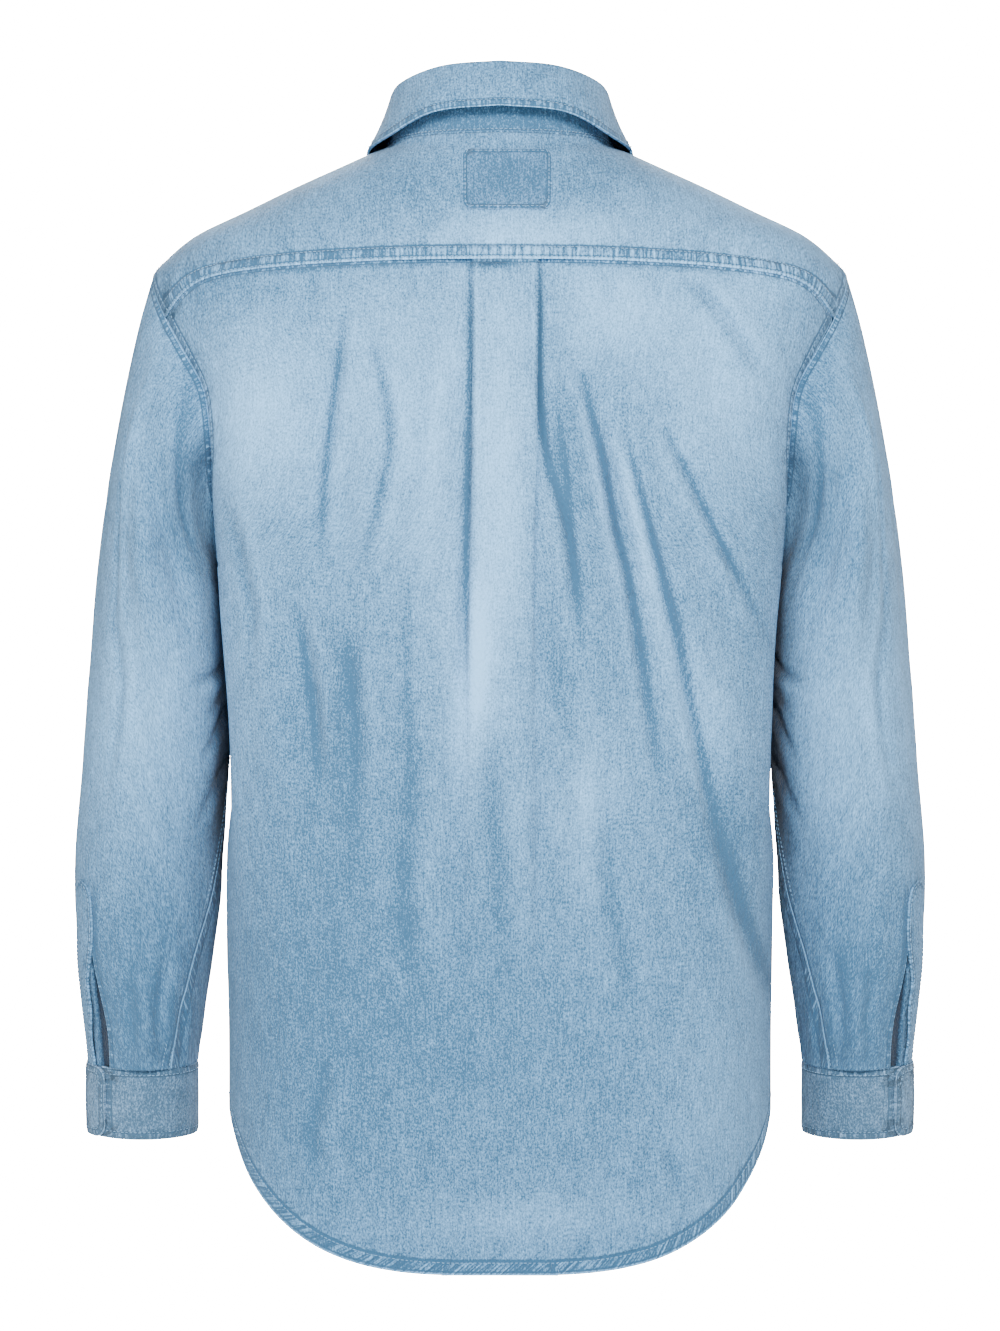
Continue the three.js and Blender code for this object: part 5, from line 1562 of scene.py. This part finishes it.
# Painted shade in the open slit of the sleeve
sleeve_shade = np.maximum(sleeve_shade, 0.92 * slit_shade)
lay_z = np.clip(sleeve_cloth[..., 2], SLEEVE_END_Z, CAP_END_Z)
lay_half = sleeve["outer"](lay_z) / 2 - sleeve["inner"](lay_z) / 2
fell_away = np.radians(fell_turn_at(lay_z)) - sleeve_round / CAP_RADIUS
fell_away = fell_away * (sleeve["depth"](lay_z) + lay_half) / 2
slit_z = steps_between(SLIT_TOP_Z - 4, SLEEVE_END_Z)
slit_open = SLIT_GAPE * smooth(SLIT_TOP_Z, SLIT_WIDE_Z, slit_z)
slit_edge = sleeve_point(SLIT_TURN - 0.8 - slit_open, slit_z, 0)

towers = tower_grid()
cuff = cuff_grid()
for side, name in ((1, "left"), (-1, "right")):
    flip = (lambda grid: grid) if side > 0 else mirror
    order = slice(None, None, side)
    sideways = np.array([side, 1, 1])
    cloth = flip(sleeve_cloth)
    lay = sleeve_lay[:, order]
    edges = edges_of(cloth, True)
    made = wall(
        f"sleeve_{name}_cloth", cloth, DENIM, wrapped=True,
        origin=back_line if side > 0 else len(turns) - 1 - back_line,
        seams=[(edges["top"][0], 4, 0), (slit_edge * sideways, 3.5, 0)],
        lines=tone_of(SLEEVE_CREASES, SLEEVE_SHADE_MARKS, lay[..., 0], lay[..., 2]),
        shade=sleeve_shade[:, order],
        fell=fell_away[:, order],
    )
    washes = wash_of(SLEEVE_WASH, lay).reshape(-1)
    made.data.attributes["wash_and_shading"].data.foreach_set("value", np.tile(washes, 2).astype(np.float32))
    fell_edge = (fell_line * sideways, fell_normals * sideways, fell_side * sideways)
    stitches = sew(f"sleeve_{name}_stitches", [(fell_edge, (1.5, 7.2), 0.1)], 7)
    declare(made, f"sleeve_{name}")

    tower_cloth = flip(towers)
    edges = edges_of(tower_cloth)
    made = wall(
        f"sleeve_placket_{name}_cloth", tower_cloth, DENIM, thick=1.3, wash_and_shading=PLACKET_WASH,
        seams=[(edges["top"][0], 3, 0), (edges["first"][0], 3, 0), (edges["last"][0], 3, 0)],
    )
    stitches = sew(f"sleeve_placket_{name}_stitches", [
        (edges["first"], (2,), THREAD_LIFT),
        (edges["last"], (2,), THREAD_LIFT),
    ], 8)
    declare(made, f"sleeve_placket_{name}")

    cuff_cloth = flip(cuff)
    edges = edges_of(cuff_cloth)
    made = wall(
        f"cuff_{name}_cloth", cuff_cloth, CUFF_DENIM, thick=FOLDED_CLOTH,
        wash_and_shading=[(side * 238, -665, 28, 70, 0, -0.12)],
        seams=[(edges[key][0], EDGE_BAND, 0) for key in ("top", "bottom", "first", "last")],
    )
    stitches = sew(f"cuff_{name}_stitches", [
        (edges["top"], (4.4,), THREAD_LIFT),
        (edges["bottom"], (5.4,), THREAD_LIFT),
        (part_of(edges["first"], 3, -3), (2.2,), THREAD_LIFT),
    ], 9)
    declare(made, f"cuff_{name}")

stand = stand_grid()
edges = edges_of(stand)
made = wall("stand_cloth", stand, DENIM, thick=FOLDED_CLOTH, origin=COLLAR_COLUMNS // 2, wash_and_shading=STAND_SHADE_UNDER_LEAF,
            seams=[(edges["bottom"][0], 2.2, 0)])
stitches = sew("stand_stitches", [(edges["bottom"], (2.4,), THREAD_LIFT)], 10)
declare(made, "collar_stand")

collar = leaf_grid()
edges = edges_of(collar)
made = wall("collar_cloth", collar, DENIM, thick=1.8, origin=COLLAR_COLUMNS // 2,
            seams=[(edges["bottom"][0], EDGE_BAND, 0), (edges["first"][0], EDGE_BAND, 0),
                   (edges["last"][0], EDGE_BAND, 0)])
stitches = sew("collar_stitches", [
    (edges["bottom"], (4.8,), THREAD_LIFT),
    (part_of(edges["first"], 6, -3), (4.8,), THREAD_LIFT),
    (part_of(edges["last"], 6, -3), (4.8,), THREAD_LIFT),
], 11)
declare(made, "collar_leaf")

patch = patch_grid()
edges = edges_of(patch)
made = wall("patch_cloth", patch, PATCH_DENIM, thick=0.8, origin=14, wash_and_shading=PATCH_WASH,
            seams=[(edges[key][0], 3, 0) for key in ("top", "bottom", "first", "last")])
stitches = sew("patch_stitches", [
    (part_of(edges[key], 2, -2), (2.1,), 0.1) for key in ("top", "bottom", "first", "last")
], 12)
declare(made, "yoke_patch")


# Button: profile of a dished disc with a round rim, radius share and height
BUTTON_PROFILE = [
    (0, 0), (0.86, 0), (0.95, 0.25), (1, 0.8), (1, 1.6), (0.97, 2.3), (0.9, 2.7), (0.82, 2.75),
    (0.74, 2.5), (0.66, 2.1), (0.3, 2.0), (0, 2.0),
]
BUTTON_SIDES = 32
HOLE_SIDES = 12
HOLE_RADIUS = 0.55
HOLE_REACH = 1.25
HOLE_HEIGHT = 2.06


def turned_grid(profile, segments):
    angles = np.linspace(0, 2 * math.pi, segments, endpoint=False)
    profile = np.array(profile, float)
    return np.stack([
        profile[:, :1] * np.cos(angles), profile[:, :1] * np.sin(angles), profile[:, 1:] + 0 * angles,
    ], -1)


def button(name, node, place, outward):
    shape = turned_grid([(BUTTON_RADIUS * radius, high) for radius, high in BUTTON_PROFILE], BUTTON_SIDES)
    points = [shape.reshape(-1, 3)]
    faces = []
    for j in range(len(shape) - 1):
        row = j * BUTTON_SIDES
        for i in range(BUTTON_SIDES):
            ahead = (i + 1) % BUTTON_SIDES
            faces.append((row + i, row + ahead, row + BUTTON_SIDES + ahead, row + BUTTON_SIDES + i))
    body_faces = len(faces)
    first = len(points[0])
    # The four holes are flat dark discs just over the dish, painted shade of holes
    for turn in range(4):
        angle = math.radians(45 + 90 * turn)
        centre = np.array([HOLE_REACH * math.cos(angle), HOLE_REACH * math.sin(angle), HOLE_HEIGHT])
        points.append(turned_grid([(HOLE_RADIUS, 0)], HOLE_SIDES)[0] + centre)
        faces.append(tuple(range(first, first + HOLE_SIDES)))
        first += HOLE_SIDES
    points = np.concatenate(points)
    up = Vector((0, 0, 1)).rotation_difference(Vector(outward)).to_matrix()
    placed = points @ np.array(up).T + place + np.array(outward) * LAY_GAP
    made = mesh_object(name, placed, faces, PEARL)
    made.data.materials.append(HOLE_SHADE)
    kinds = np.zeros(len(faces), int)
    kinds[body_faces:] = 1
    made.data.polygons.foreach_set("material_index", kinds)
    made.data.set_sharp_from_angle(angle=math.radians(50))
    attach(made, "root")
    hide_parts(node)


def button_way(up):
    """Direction square to a line up the front, pointing forward."""
    normal = np.cross(np.array([1.0, 0, 0]), up)
    normal = normal / np.linalg.norm(normal)
    return normal if normal[1] < 0 else -normal


for index, z in enumerate(BUTTON_HEIGHTS):
    middle = body_point(math.pi, z, PLACKET_PROUD)
    above = body_point(math.pi, z + 4, PLACKET_PROUD)
    node = f"front_button_{index + 1}"
    button(f"{node}_pearl", node, middle, button_way(above - middle))
low = stand_point(np.array(180.0), 0.2)
middle = stand_point(np.array(180.0), 0.5)
button("stand_button_pearl", "stand_button", middle, button_way(middle - low))

# Stage in metres: pale floor, soft lights and the photo's camera
FLOOR_Z = -0.7865
FLOOR_REACH = 30
BACKDROP_LIGHT = 40
ROOM_LIGHT = 0.26
LIGHT_AIM = (0, 0, -0.38)


def white_to_camera(tree, lit, white, output):
    """The camera sees the white shader, and everything else the lit one."""
    seen = tree.nodes.new("ShaderNodeLightPath")
    both = tree.nodes.new("ShaderNodeMixShader")
    tree.links.new(seen.outputs["Is Camera Ray"], both.inputs[0])
    tree.links.new(lit.outputs[0], both.inputs[1])
    tree.links.new(white.outputs[0], both.inputs[2])
    tree.links.new(both.outputs[0], output.inputs[0])


floor_mesh = bpy.data.meshes.new("floor")
corners = ((-1, -1), (1, -1), (1, 1), (-1, 1))
corners = [(x * FLOOR_REACH, y * FLOOR_REACH, FLOOR_Z) for x, y in corners]
floor_mesh.from_pydata(corners, [], [(0, 1, 2, 3)])
floor = bpy.data.objects.new("floor", floor_mesh)
bpy.context.scene.collection.objects.link(floor)
pale = bpy.data.materials.new("pale_floor")
pale.use_nodes = True
surface = pale.node_tree.nodes["Principled BSDF"]
surface.inputs["Base Color"].default_value = (0.9, 0.9, 0.9, 1)
surface.inputs["Roughness"].default_value = 1
surface.inputs["Specular IOR Level"].default_value = 0
glow = pale.node_tree.nodes.new("ShaderNodeEmission")
glow.inputs[1].default_value = BACKDROP_LIGHT
white_to_camera(pale.node_tree, surface, glow, pale.node_tree.nodes["Material Output"])
floor_mesh.materials.append(pale)
floor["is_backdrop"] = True


def area_light(name, place, size, power):
    data = bpy.data.lights.new(name, "AREA")
    data.shape = "RECTANGLE"
    data.size = size
    data.size_y = size
    data.energy = power
    made = bpy.data.objects.new(name, data)
    made.location = place
    made.rotation_euler = (Vector(LIGHT_AIM) - Vector(place)).to_track_quat("-Z", "Y").to_euler()
    bpy.context.scene.collection.objects.link(made)


area_light("key_back", (-0.2, 2.7, 1.2), 0.8, 180)
area_light("fill_back", (2.0, 2.6, 0.4), 1.6, 60)
area_light("key_front", (0.2, -2.7, 1.2), 0.8, 180)
area_light("fill_front", (-2.0, -2.6, 0.4), 1.6, 60)
world = bpy.data.worlds.new("studio")
world.use_nodes = True
sky = world.node_tree.nodes["Background"]
sky.inputs[0].default_value = (1, 1, 1, 1)
sky.inputs[1].default_value = ROOM_LIGHT
white = world.node_tree.nodes.new("ShaderNodeBackground")
white.inputs[1].default_value = BACKDROP_LIGHT
white_to_camera(world.node_tree, sky, white, world.node_tree.nodes["World Output"])
bpy.context.scene.world = world

CAMERA_DISTANCE = 10
CAMERA_BEHIND = 0.02
CAMERA_Z = -0.3675
PICTURE_WIDTH = 0.69
SENSOR_WIDTH = 36
camera_data = bpy.data.cameras.new("photo")
camera_data.sensor_fit = "HORIZONTAL"
camera_data.sensor_width = SENSOR_WIDTH
camera_data.lens = SENSOR_WIDTH * CAMERA_DISTANCE / PICTURE_WIDTH
camera = bpy.data.objects.new("photo", camera_data)
camera.location = (0, CAMERA_DISTANCE + CAMERA_BEHIND, CAMERA_Z)
camera.rotation_euler = (math.pi / 2, 0, math.pi)
bpy.context.scene.collection.objects.link(camera)
bpy.context.scene.camera = camera

bounds_at_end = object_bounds()
[[list(corner) for corner in bounds] for bounds in (bounds_at_load, bounds_at_end)]
